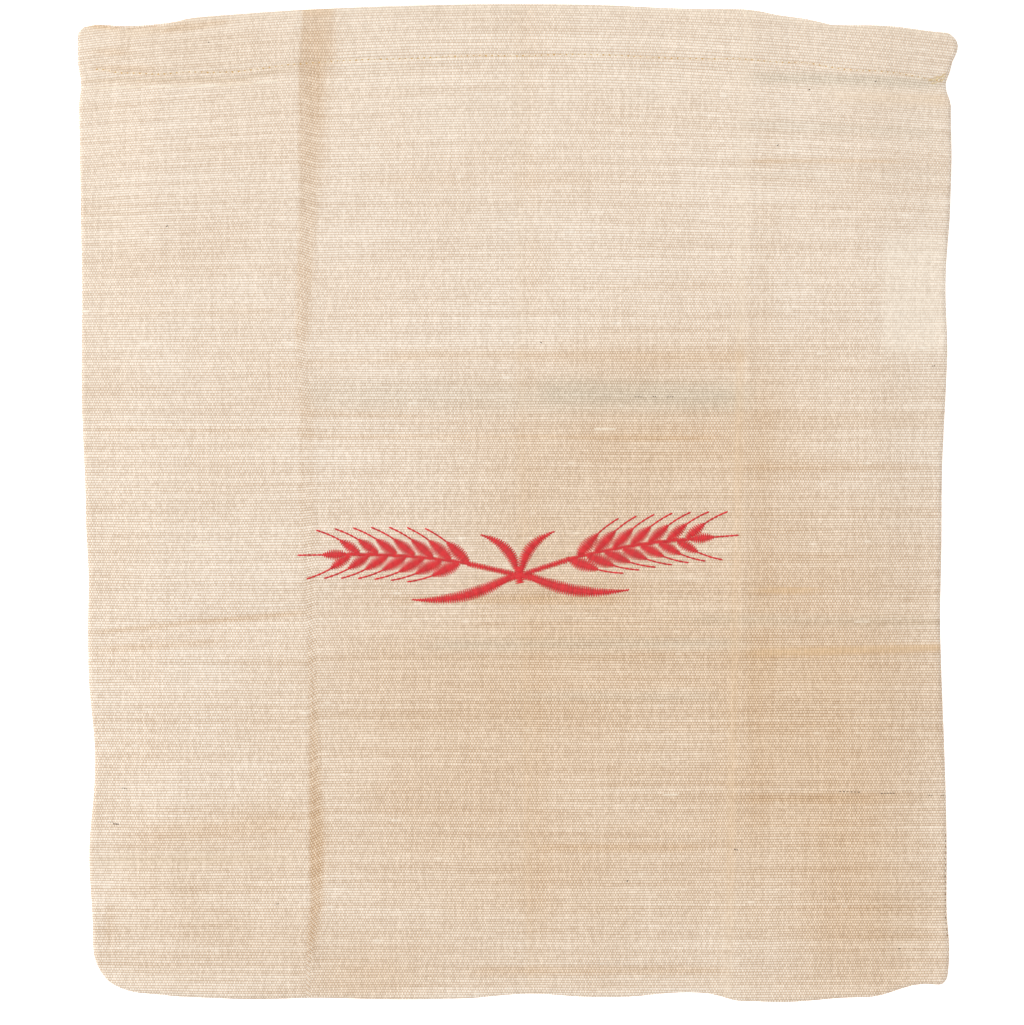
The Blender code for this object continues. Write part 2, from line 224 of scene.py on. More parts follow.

# Bands along the wefts: where each starts and ends, its half width, how warm or grey it is,
# and how far thick smooth wefts hide the weave there. Some are wefts of another colour; those that follow the
# creases are painted shade in the creases
Band = namedtuple("Band", "x_from x_to y_from y_to half_width warm grey smooth", defaults=(0.0, 0.0))
WEFT_AND_SHADE_BANDS = table(Band, (
    (-0.05, 0.092, 0.06, 0.059, 0.005, 0.28),
    (-0.1, -0.04, 0.056, 0.059, 0.003, 0.2),
    (-0.084, 0.092, 0.044, 0.043, 0.012, 0.0, 0.26, 0.0),
    (0.01, 0.092, 0.0455, 0.043, 0.01, 0.0, 0.34, 0.0),
    (-0.088, 0.082, 0.0274, 0.0266, 0.0016, 0.34),
    (-0.17, -0.088, 0.03, 0.029, 0.003, 0.22),
    (-0.084, -0.04, 0.037, 0.035, 0.0022, 0.3),
    (0.092, 0.167, 0.015, 0.0148, 0.0022, 0.24),
    (0.092, 0.172, 0.035, 0.034, 0.005, 0.12),
    (-0.048, 0.042, -0.0392, -0.0388, 0.003, 0.3),
    (-0.172, -0.086, -0.0522, -0.0441, 0.002, 0.5),
    (-0.172, -0.12, -0.06, -0.056, 0.003, 0.3),
    (0.095, 0.178, -0.0606, -0.0582, 0.0026, 0.34, 0.0, 0.85),
    (0.099, 0.12, -0.0352, -0.0352, 0.0018, 0.42, 0.0, 0.8),
    (0.07, 0.172, -0.047, -0.048, 0.004, 0.0, 0.3, 0.1),
    (-0.035, 0.09, -0.0575, -0.0565, 0.0042, 0.0, 0.34, 0.0),
    (0.0, 0.08, -0.078, -0.078, 0.004, 0.0, 0.26, 0.0),
    (0.092, 0.17, 0.1537, 0.15, 0.004, 0.0, 0.24, 0.0),
    (0.094, 0.172, 0.133, 0.133, 0.003, 0.0, 0.12, 0.0),
    (0.096, 0.172, 0.1726, 0.1702, 0.0042, 0.12, 0.55, 0.0),
    (0.125, 0.178, 0.1655, 0.1635, 0.0055, 0.22, 0.0, 0.4),
    (0.094, 0.156, 0.1388, 0.1386, 0.0016, 0.34, 0.0, 0.3),
    # These two are painted shadow under the ridge below the hem's stitching at the left
    (-0.178, -0.112, 0.1712, 0.1714, 0.0018, 0.24, 0.16, 0.2),
    (-0.114, -0.092, 0.1716, 0.1762, 0.0017, 0.22, 0.16, 0.1),
    (-0.171, -0.158, 0.1832, 0.1828, 0.0024, 0.4),
    (0.094, 0.19, -0.06, -0.06, 0.09, 0.14),
    (-0.174, -0.148, 0.1768, 0.1762, 0.0022, 0.4),
    (-0.143, -0.119, 0.1916, 0.1944, 0.0015, 0.55, 0.1, 0.0),
    (-0.17, -0.165, 0.194, 0.1935, 0.0022, 1.1),
    (-0.172, -0.09, -0.145, -0.143, 0.005, 0.0, 0.2, 0.3),
    (-0.15, -0.088, -0.134, -0.129, 0.008, 0.26),
    (0.092, 0.16, -0.1204, -0.119, 0.004, 0.2),
    (0.011, 0.074, -0.1395, -0.1395, 0.003, 0.3),
    (-0.019, 0.082, -0.1898, -0.189, 0.0026, 0.38),
    (-0.06, 0.03, 0.13, 0.131, 0.006, 0.12),
    (-0.17, -0.095, 0.078, 0.078, 0.004, 0.14),
    (0.02, 0.09, 0.088, 0.087, 0.004, 0.14),
))
BAND_FADE = 0.016

# Tan on the shaded flank of the left fold, from mouth to foot: its two sides and how strong; partly the
# cloth's own tan, partly painted shade
Flank = namedtuple("Flank", "y left right amount")
LEFT_FLANK_TAN_AND_SHADE = table(Flank, (
    (0.202, -0.0868, -0.0752, 0.38),
    (0.18, -0.0884, -0.0757, 0.42),
    (0.169, -0.0888, -0.079, 0.38),
    (0.125, -0.0883, -0.0805, 0.36),
    (0.068, -0.0902, -0.0845, 0.32),
    (0.058, -0.0895, -0.085, 0.04),
    (0.036, -0.088, -0.0825, 0.24),
    (0.0, -0.0885, -0.0815, 0.14),
    (-0.05, -0.086, -0.0816, 0.05),
    (-0.075, -0.0845, -0.0812, 0.24),
    (-0.11, -0.0845, -0.08, 0.46),
    (-0.136, -0.0843, -0.0782, 0.62),
    (-0.16, -0.084, -0.0788, 0.58),
    (-0.176, -0.085, -0.0814, 0.46),
    (-0.188, -0.086, -0.0838, 0.0),
))
FLANK_RISE = 0.002
FLANK_FALL = 0.0045

# How far the wefts step down across that flank, from mouth to foot
Slant = namedtuple("Slant", "y drop")
FLANK_SLANTS = table(Slant, (
    (0.19, 0.0),
    (0.17, 0.002),
    (0.09, 0.0018),
    (0.02, 0.0),
    (-0.07, -0.002),
    (-0.19, -0.0024),
))

# Faint stripes along the other folds: how far right of the crest, half width, how warm, and how smooth; the
# warm ones are partly tan and partly painted shade in the middle valley and on the right ridge's shaded side
FoldTone = namedtuple("FoldTone", "fold offset half_width warm smooth")
FOLD_TONES_AND_SHADE = table(FoldTone, (
    (1, 0.0, 0.008, 0.09, 0.0),
    (1, -0.004, 0.003, 0.0, 0.18),
    (2, 0.006, 0.01, 0.1, 0.0),
    (2, -0.0035, 0.0034, 0.0, 0.34),
))

# The label shows through the front as a slightly paler rectangle
LABEL_GHOST_SOFT = 0.0012

# Thick pale places in single wefts
Slub = namedtuple("Slub", "x y half_x half_y amount")
SLUBS = table(Slub, (
    (0.0354, 0.0302, 0.005, 0.0016, 0.8),
    (0.023, 0.0445, 0.003, 0.0014, 0.6),
    (-0.129, -0.017, 0.004, 0.0014, 0.6),
    (0.062, -0.118, 0.0036, 0.0014, 0.6),
))

# Single pale wefts that stand out: where each runs, and its width
PaleWeft = namedtuple("PaleWeft", "x_from x_to y_from y_to width")
PALE_WEFTS = table(PaleWeft, (
    (-0.176, -0.115, 0.1684, 0.1694, 0.00056),
    (-0.115, -0.097, 0.1694, 0.1712, 0.0005),
    (0.0312, 0.0396, 0.0302, 0.0302, 0.00046),
    (-0.132, -0.125, -0.017, -0.017, 0.0006),
    (0.059, 0.065, -0.118, -0.118, 0.0006),
))

# Spacing of the mesh lines
FRONT_COLUMN_PITCH = 0.0036
FRONT_ROW_PITCH = 0.00135
BACK_COLUMN_PITCH = 0.0045
BACK_ROW_PITCH = 0.003
COLUMN_SKIP = 2
ROW_SKIP = 3
EDGE_STEPS = (0.0, 0.00008, 0.0003, 0.00065, 0.0011, 0.0016, 0.0022, 0.0032)
FOLD_STEPS_LEFT = (-0.006, -0.004, -0.0028, -0.0018, -0.0009)
FOLD_STEPS_RIGHT = (0.0, 0.0009, 0.0018, 0.0027, 0.0036, 0.005, 0.0065, 0.008)
MOUTH_STEPS = (0.0, 0.00004, 0.00015, 0.00032, 0.0005, 0.0007, 0.0012)
STITCH_STEPS = (-0.0016, -0.001, -0.0005, 0.0, 0.0005, 0.001, 0.0016)
HEM_SIDE = 0.008
SHARP_DEGREES = 50.0

# Threads of the weave
WEFT = 0.00104
WARP = 0.00052
STRAIGHT_BELOW = 0.06

# Sewing: the hem's stitches, the tack at the seam's top, and the overlock that peeps out at the lower right
HEM_STITCH_FROM = -0.1705
HEM_STITCH_TO = 0.17
HEM_STITCH_PITCH = 0.0025
HEM_STITCH_LENGTH = 0.0021
HOLE_LENGTH = 0.00095
BACK_THREAD_Z = 0.00026
TACK_STITCHES = 15
TACK_LEFT_X = 0.1674
TACK_RIGHT_X = 0.1732
TACK_Y = 0.1712
TACK_RISE = 0.0016
TACK_DEGREES = 46.0
TACK_LENGTH = 0.0021
SEAM_STITCH_FROM = -0.1752
SEAM_STITCH_TO = -0.1346
SEAM_STITCH_PITCH = 0.0024

# Its threads: how wide each is, how far a stitch bows up, and how thick it lies
Thread = namedtuple("Thread", "width arch thickness")
HEM_FRONT = Thread(0.00044, 0.0002, 0.0003)
HEM_BACK = Thread(0.00044, 0.00004, 0.00014)
# HOLE is no thread: a flat tan bar, painted shade in a needle hole
HOLE = Thread(0.00056, 0.00002, 0.00012)
TACK = Thread(0.00036, 0.00016, 0.00026)
OVERLOCK = Thread(0.00036, 0.00006, 0.00022)
ABOVE_CLOTH = 0.00005
STALK_ABOVE = 0.00008
STALK_ARCH = 0.00005
STALK_THICKNESS = 0.00022
PALE_ARCH = 0.00003
PALE_THICKNESS = 0.0002
PALE_STEP = 0.003
PALE_LAP = 0.0003

# Red stitched wheat: its middle on the front, its turn, and its thread
MOTIF_X = 0.0006
MOTIF_Y = -0.0245
MOTIF_DEGREES = 2.6
SATIN_STEP = 0.00046
SATIN_THREAD = 0.00054
SATIN_UNEVEN = 0.0001
SATIN_LEAST_REACH = 0.0004
SATIN_ARCH = 0.00012
SATIN_ARCH_SHARE = 0.085
SATIN_THICKNESS = 0.00036
AXIS_HALF = 0.00085
STEM_HALF = 0.00125
KNOT_HALF = 0.0019
KERNEL_LENGTH = 0.0118
KERNEL_HALF = 0.0028
KERNEL_DEGREES = 34.0
KERNEL_SPACING = 0.0074
KERNEL_PAIRS = 7
AWN_LENGTH = 0.0125
AWN_STITCH = 0.0021
AWN_THREAD = 0.00072
AWN_ARCH = 0.00022

# Bits of dark plant stalk spun into the threads
Fleck = namedtuple("Fleck", "x y length width degrees bits")
FLECKS = table(Fleck, (
    (-0.165, -0.1292, 0.0022, 0.00034, 0.0, 3),
    (-0.1628, -0.13, 0.0024, 0.00062, -6.0, 4),
    (-0.1594, -0.1155, 0.0022, 0.00036, -6.0, 3),
    (-0.0972, -0.1622, 0.0012, 0.0004, 10.0, 2),
    (0.0885, -0.1402, 0.0018, 0.0006, -10.0, 2),
    (0.0445, -0.1529, 0.001, 0.0004, 60.0, 1),
    (0.1549, -0.1805, 0.001, 0.00036, 10.0, 1),
    (-0.1419, 0.1123, 0.001, 0.00038, 25.0, 1),
    (-0.125, 0.1867, 0.0005, 0.00034, 80.0, 1),
    (0.1182, 0.1676, 0.0007, 0.0004, 30.0, 1),
    (0.145, 0.171, 0.0007, 0.0003, 0.0, 1),
    (0.1054, 0.1451, 0.001, 0.00034, 40.0, 1),
    (0.0095, 0.0652, 0.0009, 0.0004, -40.0, 1),
    (0.049, 0.0432, 0.0032, 0.0003, 0.0, 3),
    (0.0555, 0.0433, 0.0016, 0.00034, 0.0, 2),
    (0.0619, 0.0432, 0.003, 0.00036, 0.0, 3),
    (0.1687, 0.0558, 0.0014, 0.00036, 10.0, 2),
    (0.1345, -0.1168, 0.009, 0.00028, -2.0, 6),
    (0.15, -0.1174, 0.006, 0.0003, 0.0, 5),
    (0.1675, -0.1184, 0.002, 0.00034, 0.0, 2),
    (0.1723, -0.1184, 0.0016, 0.00036, 0.0, 2),
))

# Camera far above the middle of the photograph, and the lights
CAMERA_DISTANCE = 2.4
SENSOR = 0.036
KEY_PLACE = (-2.45, 1.13, 6.2)
KEY_SIZE = 3.4
KEY_POWER = 344.0
FILL_STRENGTH = 0.47
FLOOR_GLOW = 0.7
FLOOR_HALF = 4.0
FLOOR_Z = -0.0002


def ease(value):
    """Rise smoothly from 0 to 1 as value goes from 0 to 1."""
    held = np.clip(value, 0.0, 1.0)
    return held * held * (3.0 - 2.0 * held)


def hump(distance, half_width):
    """A rounded hump of height 1 that ends level at half_width to each side."""
    inside = np.clip(np.abs(distance) / half_width, 0.0, 1.0)
    return 0.5 + 0.5 * np.cos(np.pi * inside)


def swell(place, rows):
    """Sum of the soft swells of one edge at places along it."""
    return sum(row.outward * hump(place - row.at, row.half_length) for row in rows)


def up_the_bag(y):
    """How far up the bag y lies: 0 at the foot, 1 at the mouth."""
    return (y - FOOT_Y) / (MOUTH_Y - FOOT_Y)


def left_edge(y):
    """X of the folded left side."""
    return LEFT_AT_FOOT + (LEFT_AT_MOUTH - LEFT_AT_FOOT) * up_the_bag(y) - swell(y, LEFT_SWELLS)


def right_edge(y):
    """X of the seamed right side."""
    return RIGHT_AT_FOOT + (RIGHT_AT_MOUTH - RIGHT_AT_FOOT) * up_the_bag(y) + swell(y, RIGHT_SWELLS)


def mouth_edge(x, front):
    """Y of the mouth's edge; the front lies a little lower near the left corner."""
    bow = MOUTH_BOW * (x / HALF_WIDTH) ** 2
    drop = swell(x, (FRONT_MOUTH_DROP,)) if front else 0.0
    return MOUTH_Y - bow + swell(x, MOUTH_SWELLS) + drop


def hem_depth(x):
    """Depth of the hem, from the mouth's edge to its stitching."""
    return HEM_DEPTH + swell(x, HEM_SWELLS)


def foot_edge(x):
    """Y of the foot's edge."""
    return FOOT_Y - swell(x, FOOT_SWELLS)


def fold_place(fold, y):
    """X of a lengthwise fold at height y on the bag."""
    return fold.x_foot + (fold.x_mouth - fold.x_foot) * up_the_bag(y)


def fold_height(fold, y):
    """Height of a lengthwise fold at y, from its values at mouth, middle and foot."""
    return np.interp(y, (FOOT_Y, 0.0, MOUTH_Y), (fold.height_foot, fold.height_middle, fold.height_mouth))


def folds_lift(x, y):
    """Height that the lengthwise folds add, each a sharp crest with curved flanks."""
    total = np.zeros_like(x)
    for fold in FOLDS:
        offset = x - fold_place(fold, y)
        reach = np.where(offset < 0.0, fold.reach_left, fold.reach_right)
        flank = np.clip(1.0 - np.abs(offset) / reach, 0.0, 1.0)
        total += fold_height(fold, y) * flank ** FOLD_CURVE
    return total


def creases_lift(x, y, rows):
    """Depth of crosswise creases, faded out at their ends."""
    total = np.zeros_like(x)
    for row in rows:
        along = np.clip((x - row.x_from) / (row.x_to - row.x_from), 0.0, 1.0)
        line = row.y_from + (row.y_to - row.y_from) * along
        fade_in = ease((x - row.x_from) / CREASE_FADE + 0.5)
        fade_out = ease((row.x_to - x) / CREASE_FADE + 0.5)
        reach = np.where(y > line, row.above, row.below)
        total -= row.depth * fade_in * fade_out * hump(y - line, reach)
    return total


def patches(x, y, rows, name):
    """Sum of soft oval patches, each as strong as its named column says."""
    return sum(getattr(row, name) * hump(x - row.x, row.half_x) * hump(y - row.y, row.half_y) for row in rows)


def edge_distance(from_side, from_foot, radius):
    """Distance from a side and the foot where they meet in a round corner."""
    corner = (from_side < radius) & (from_foot < radius)
    round_part = np.maximum(radius - np.hypot(radius - from_side, radius - from_foot), 0.0)
    return np.where(corner, round_part, np.minimum(from_side, from_foot))


def cockle(x, y, amount):
    """Slight unevenness of washed cloth: a few crossing waves of unlike lengths."""
    waves = ((0.061, 0.3, 1.0), (0.043, 1.4, 0.8), (0.029, 2.5, 0.6), (0.019, 0.9, 0.35), (0.013, 2.0, 0.22))
    total = np.zeros_like(x)
    for step, (length, turn, size) in enumerate(waves):
        across = x * math.cos(turn) + y * math.sin(turn)
        along = y * math.cos(turn) - x * math.sin(turn)
        ripple = np.sin(2.0 * np.pi * across / length + step)
        total += size * ripple * np.sin(np.pi * along / length + 2.0 * step)
    return amount * total


def front_lift(x, y, from_side, from_foot):
    """Height of the front above where it would lie if the bag were pressed shut."""
    inward = edge_distance(from_side, from_foot, CORNER_REACH)
    rise = SOLID_CLOTH * 2.0 + ROOM - EDGE_RADIUS * 2.0
    relief = folds_lift(x, y) + creases_lift(x, y, CREASES) + patches(x, y, SLACKS, "height")
    fine = creases_lift(x, y, FINE_CREASES) + cockle(x, y, 0.00006)
    return rise * ease(inward / EDGE_REACH) + (relief + fine) * ease(inward / FOLD_START)


def round_over(distance, radius):
    """Half height of the closed edge at a distance in from it."""
    inside = np.clip(distance, 0.0, radius)
    return np.sqrt(np.maximum(radius * radius - (radius - inside) ** 2, 0.0))


def round_corner(along_a, along_b, radius):
    """Bend the square corner of a grid into a quarter circle."""
    inside = (along_a < radius) & (along_b < radius)
    p = np.where(inside, 1.0 - along_a / radius, 0.0)
    q = np.where(inside, 1.0 - along_b / radius, 0.0)
    bent_a = radius * (1.0 - p * np.sqrt(1.0 - q * q / 2.0))
    bent_b = radius * (1.0 - q * np.sqrt(1.0 - p * p / 2.0))
    return np.where(inside, bent_a, along_a), np.where(inside, bent_b, along_b)


def hem_amount(x, from_mouth):
    """1 on the hem, falling to 0 just past its stitching."""
    return 1.0 - ease((from_mouth - hem_depth(x)) / HEM_END)


def shift_row(y_line, x, foot, mouth):
    """Y of mesh lines at x: each keeps its distance from the foot, the hem's stitching or the mouth."""
    below = MOUTH_Y - y_line
    hem = hem_depth(x)
    on_hem = mouth - hem * below / HEM_DEPTH
    under_hem = mouth - hem - (END_ZONE - hem) * (below - HEM_DEPTH) / (END_ZONE - HEM_DEPTH)
    share = (y_line - FOOT_Y - END_ZONE) / (MOUTH_Y - FOOT_Y - 2.0 * END_ZONE)
    middle = foot + END_ZONE + share * (mouth - foot - 2.0 * END_ZONE)
    low = foot + y_line - FOOT_Y
    upper = np.where(below < HEM_DEPTH, on_hem, under_hem)
    return np.where(below < END_ZONE, upper, np.where(share > 0.0, middle, low))


def place_grid(columns, rows, inset, front):
    """Lay a grid of mesh lines on the bag's outline, moved in from the closed edges."""
    x = np.zeros((len(rows), len(columns)))
    left = np.zeros((len(rows), 1))
    right = np.zeros((len(rows), 1))
    knots = [-HALF_WIDTH] + [fold_place(fold, 0.0) for fold in FOLDS] + [HALF_WIDTH]
    ends = np.array((-HALF_WIDTH, HALF_WIDTH))
    for j, y_line in enumerate(rows):
        side_y = shift_row(y_line, ends, foot_edge(ends), mouth_edge(ends, front))
        left[j] = left_edge(side_y[0]) + inset
        right[j] = right_edge(side_y[1]) - inset
        places = [left[j, 0]] + [fold_place(fold, y_line) for fold in FOLDS] + [right[j, 0]]
        x[j] = np.interp(columns, knots, places)
    foot = foot_edge(x) + inset
    mouth = mouth_edge(x, front)
    y = shift_row(np.asarray(rows)[:, None], x, foot, mouth)
    on_left = x - left < right - x
    side = np.where(on_left, x - left, right - x)
    corner = np.where(on_left, FOOT_CORNER_LEFT, FOOT_CORNER_RIGHT) - inset
    side, from_foot = round_corner(side, y - foot, corner)
    side, from_mouth = round_corner(side, mouth - y, MOUTH_CORNER - inset)
    x = np.where(on_left, left + side, right - side)
    y = np.where(from_foot < from_mouth, foot + from_foot, mouth - from_mouth)
    return x, y, side, from_foot, from_mouth, corner


def roll_in(from_mouth):
    """How far each face of the hem curls in at the mouth's edge, as a quarter circle."""
    inside = np.clip(from_mouth, 0.0, MOUTH_ROLL)
    return MOUTH_ROLL - np.sqrt(MOUTH_ROLL ** 2 - (MOUTH_ROLL - inside) ** 2)


def skin_heights(grid, inset, front):
    """Heights of the outer face (inset 0) or the inner face of one layer."""
    x, y, side, from_foot, from_mouth, corner = grid
    half = round_over(edge_distance(side, from_foot, corner), EDGE_RADIUS - inset)
    inner = inset > 0.0
    curl = roll_in(from_mouth) * (-1.0 if inner else 1.0)
    away = ease(side / HEM_SIDE)
    hem = HEM_EXTRA * hem_amount(x, from_mouth) * away
    groove = STITCH_GROOVE * hump(from_mouth - hem_depth(x), STITCH_HALF) * away
    if not front:
        return EDGE_RADIUS - half + curl + (hem if inner else groove)
    lift = front_lift(x, y, side + inset, from_foot + inset)
    return EDGE_RADIUS + half + lift - curl + (0.0 if inner else hem - groove)


def front_top(x, y):
    """Height of the front's outer face at points away from its corners."""
    x = np.asarray(x, float)
    y = np.asarray(y, float)
    side = np.minimum(x - left_edge(y), right_edge(y) - x)
    corner = np.full_like(x, FOOT_CORNER_RIGHT)
    return skin_heights((x, y, side, y - foot_edge(x), mouth_edge(x, True) - y, corner), 0.0, True)


def stations(low, high, kept, pitch):
    """Mesh lines from low to high: the kept ones, then even ones that crowd none of them."""
    lines = sorted(set(round(value, 6) for value in kept))
    count = int(round((high - low) / pitch))
    evens = [low + (high - low) * step / count for step in range(1, count)]
    clear = [even for even in evens if min(abs(even - line) for line in lines) > 0.45 * pitch]
    return np.array(sorted(lines + clear))


def column_lines(pitch):
    """Columns at the bag's nominal width: the two sides, the folds and even ones."""
    kept = [-HALF_WIDTH + step for step in EDGE_STEPS]
    kept += [HALF_WIDTH - step for step in EDGE_STEPS]
    steps = FOLD_STEPS_LEFT + FOLD_STEPS_RIGHT
    kept += [fold_place(fold, 0.0) + step for fold in FOLDS for step in steps]
    return stations(-HALF_WIDTH, HALF_WIDTH, kept, pitch)


def row_lines(pitch):
    """Rows at the bag's nominal length: foot, hem, mouth and even ones."""
    kept = [FOOT_Y + step for step in EDGE_STEPS]
    kept += [MOUTH_Y - step for step in MOUTH_STEPS]
    kept += [MOUTH_Y - HEM_DEPTH + step for step in STITCH_STEPS]
    return stations(FOOT_Y, MOUTH_Y, kept, pitch)


def picks(count, skip):
    """Every skip-th mesh line, and always the last one."""
    return list(range(0, count - 1, skip)) + [count - 1]


def quads(index):
    """Quads of a grid of point numbers, anticlockwise as seen from above."""
    stack = (index[:-1, :-1], index[:-1, 1:], index[1:, 1:], index[1:, :-1])
    return np.stack(stack, axis=-1).reshape(-1, 4).tolist()


def rim_faces(outer, inner, few_rows, few_columns):
    """Faces that close a sheet's edge; each takes in the outer face's finer steps."""
    last_row = few_rows[-1]
    last_column = few_columns[-1]
    sides = (
        (outer[0, :], inner[0, :], few_columns),
        (outer[:, -1], inner[:, -1], few_rows),
        (outer[-1, ::-1], inner[-1, ::-1], [last_column - i for i in few_columns[::-1]]),
        (outer[::-1, 0], inner[::-1, 0], [last_row - j for j in few_rows[::-1]]),
    )
    faces = []
    for outer_line, inner_line, few in sides:
        for k in range(len(few) - 1):
            run = outer_line[few[k]:few[k + 1] + 1]
            faces.append([int(v) for v in run[::-1]] + [int(inner_line[k]), int(inner_line[k + 1])])
    return faces


def soft_box(x, y, box, soft):
    """1 inside a rectangle, falling to 0 over a soft border."""
    x_from, x_to, y_from, y_to = box
    across = ease((x - x_from) / soft + 0.5) * ease((x_to - x) / soft + 0.5)
    along = ease((y - y_from) / soft + 0.5) * ease((y_to - y) / soft + 0.5)
    return across * along


def band_tone_and_shade_sum(x, y, name):
    """Sum of the weft bands, both the coloured wefts and the painted crease shade, each as strong as its
    named column says.
    """
    total = np.zeros_like(x)
    for row in WEFT_AND_SHADE_BANDS:
        share = np.clip((x - row.x_from) / (row.x_to - row.x_from), 0.0, 1.0)
        line = row.y_from + (row.y_to - row.y_from) * share
        ends = ease((x - row.x_from) / BAND_FADE + 0.5) * ease((row.x_to - x) / BAND_FADE + 0.5)
        total += getattr(row, name) * ends * hump(y - line, row.half_width)
    return total


def flank_place(y):
    """Left side, right side and strength of the tan and painted shade on the left fold's flank at y."""
    rows = LEFT_FLANK_TAN_AND_SHADE[::-1]
    heights = [row.y for row in rows]
    names = ("left", "right", "amount")
    return [np.interp(y, heights, [getattr(row, name) for row in rows]) for name in names]


def flank_tan_and_shade(x, y):
    """Tan of the left fold's flank, partly the cloth's own and partly painted shade."""
    left, right, amount = flank_place(y)
    return amount * ease((x - left) / FLANK_RISE + 0.5) * ease((right - x) / FLANK_FALL + 0.5)


def fold_tone_and_shade_stripes(x, y, name):
    """Sum of the stripes along the other folds, tan, painted shade and smooth wefts, each as strong as its
    named column says.
    """
    total = np.zeros_like(x)
    for row in FOLD_TONES_AND_SHADE:
        total += getattr(row, name) * hump(x - fold_place(FOLDS[row.fold], y) - row.offset, row.half_width)
    return total


def add_values(mesh, name, kind, values):
    """Store one value per point on a mesh, for its material."""
    attribute = mesh.attributes.new(name, kind, "POINT")
    field = {"FLOAT": "value", "FLOAT_VECTOR": "vector", "FLOAT_COLOR": "color"}[kind]
    attribute.data.foreach_set(field, np.asarray(values, np.float32).ravel())


def weave_places(points):
    """Places in the flat weave: wefts follow the mouth's broad bow near it and run straight below."""
    x, y = points[:, 0], points[:, 1]
    bow = MOUTH_BOW * (x / HALF_WIDTH) ** 2
    bent = y + bow * ease((y - STRAIGHT_BELOW) / (MOUTH_Y - STRAIGHT_BELOW))
    left, right, _ = flank_place(y)
    rows = FLANK_SLANTS[::-1]
    drop = np.interp(y, [row.y for row in rows], [row.drop for row in rows])
    bent += drop * ease((x - left) / (right - left))
    return np.stack((x, bent, np.zeros_like(x)), axis=-1)


def add_tones_and_shade(mesh, x, y, front):
    """Warmth, greyness and paleness of the cloth at each point; the warmth also holds painted shade from the
    tone patches, crease bands, flank and fold stripes.
    """
    if front:
        warm = patches(x, y, TONE_AND_SHADE_PATCHES, "amount") + band_tone_and_shade_sum(x, y, "warm")
        warm += flank_tan_and_shade(x, y) + fold_tone_and_shade_stripes(x, y, "warm")
        grey = band_tone_and_shade_sum(x, y, "grey")
        from_mouth = mouth_edge(x, True) - y
        smooth = band_tone_and_shade_sum(x, y, "smooth") + fold_tone_and_shade_stripes(x, y, "smooth")
        smooth += MOUTH_SMOOTH * ease(1.0 - from_mouth / MOUTH_SMOOTH_REACH)
        low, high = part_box("inner_label")
        pale = soft_box(x, y, (low.x, high.x + SOLID_CLOTH, low.y, high.y), LABEL_GHOST_SOFT)
        pale += patches(x, y, SLUBS, "amount")
    else:
        warm = 0.35 * hump(x, 0.30) * np.ones_like(y)
        grey = np.zeros_like(x)
        pale = np.zeros_like(x)
        smooth = np.zeros_like(x)
    add_values(mesh, "cloth_tone_and_shade", "FLOAT_COLOR", np.stack((warm, grey, pale, smooth), axis=-1))


def add_flat_map(mesh, outer_loops):
    """Flat map of a sheet: its outer face fills nearly all of it, its inner face and rim a strip."""
    numbers = np.zeros(len(mesh.loops), np.int32)
    mesh.loops.foreach_get("vertex_index", numbers)
    places = np.zeros(len(mesh.vertices) * 3, np.float32)
    mesh.vertices.foreach_get("co", places)
    places = places.reshape(-1, 3)[:, :2]
    low = places.min(axis=0)
    share = ((places - low) / (places.max(axis=0) - low))[numbers]
    chart = np.empty_like(share)
    chart[:, 0] = 0.01 + 0.98 * share[:, 0]
    chart[:outer_loops, 1] = 0.055 + 0.935 * share[:outer_loops, 1]
    chart[outer_loops:, 1] = 0.005 + 0.035 * share[outer_loops:, 1]
    layer = mesh.uv_layers.new(name="OFBake")
    layer.data.foreach_set("uv", chart.ravel())


def make_object(name, points, faces, material):
    """A mesh object with one material, smooth but for its sharp edges."""
    mesh = bpy.data.meshes.new(name)
    mesh.from_pydata(points.tolist(), [], faces)
    mesh.materials.append(material)
    mesh.shade_smooth()
    mesh.set_sharp_from_angle(angle=math.radians(SHARP_DEGREES))
    thing = bpy.data.objects.new(name, mesh)
    bpy.context.scene.collection.objects.link(thing)
    return thing


def make_layer(name, front, column_pitch, row_pitch, material):
    """One layer of the bag as a closed thin sheet: fine outer face, coarser inner face and a rim."""
    columns = column_lines(column_pitch)
    rows = row_lines(row_pitch)
    few_columns = picks(len(columns), COLUMN_SKIP)
    few_rows = picks(len(rows), ROW_SKIP)
    points = []
    faces_of_cloth = ((0.0, columns, rows), (CLOTH, columns[few_columns], rows[few_rows]))
    for inset, kept_columns, kept_rows in faces_of_cloth:
        grid = place_grid(kept_columns, kept_rows, inset, front)
        heights = skin_heights(grid, inset, front)
        points.append(np.stack((grid[0], grid[1], heights), axis=-1).reshape(-1, 3))
    outer = np.arange(len(rows) * len(columns)).reshape(len(rows), len(columns))
    inner = outer.size + np.arange(len(few_rows) * len(few_columns)).reshape(len(few_rows), len(few_columns))
    outer_faces = quads(outer)
    rest = [face[::-1] for face in quads(inner)] + rim_faces(outer, inner, few_rows, few_columns)
    faces = outer_faces + rest
    if not front:
        faces = [face[::-1] for face in faces]
    points = np.concatenate(points)
    layer = make_object(name, points, faces, material)
    add_values(layer.data, "cloth_place", "FLOAT_VECTOR", weave_places(points))
    add_tones_and_shade(layer.data, points[:, 0], points[:, 1], front)
    add_flat_map(layer.data, 4 * len(outer_faces))
    return layer


class Value:
    """A number that a material works out, for plain sums with others."""

    def __init__(self, graph, socket):
        self.graph = graph
        self.socket = socket

    def __add__(self, other):
        return self.graph.math("ADD", self, other)

    def __sub__(self, other):
        return self.graph.math("SUBTRACT", self, other)

    def __mul__(self, other):
        return self.graph.math("MULTIPLY", self, other)

    def __truediv__(self, other):
        return self.graph.math("DIVIDE", self, other)

    def __radd__(self, other):
        return self.graph.math("ADD", other, self)

    def __rsub__(self, other):
        return self.graph.math("SUBTRACT", other, self)


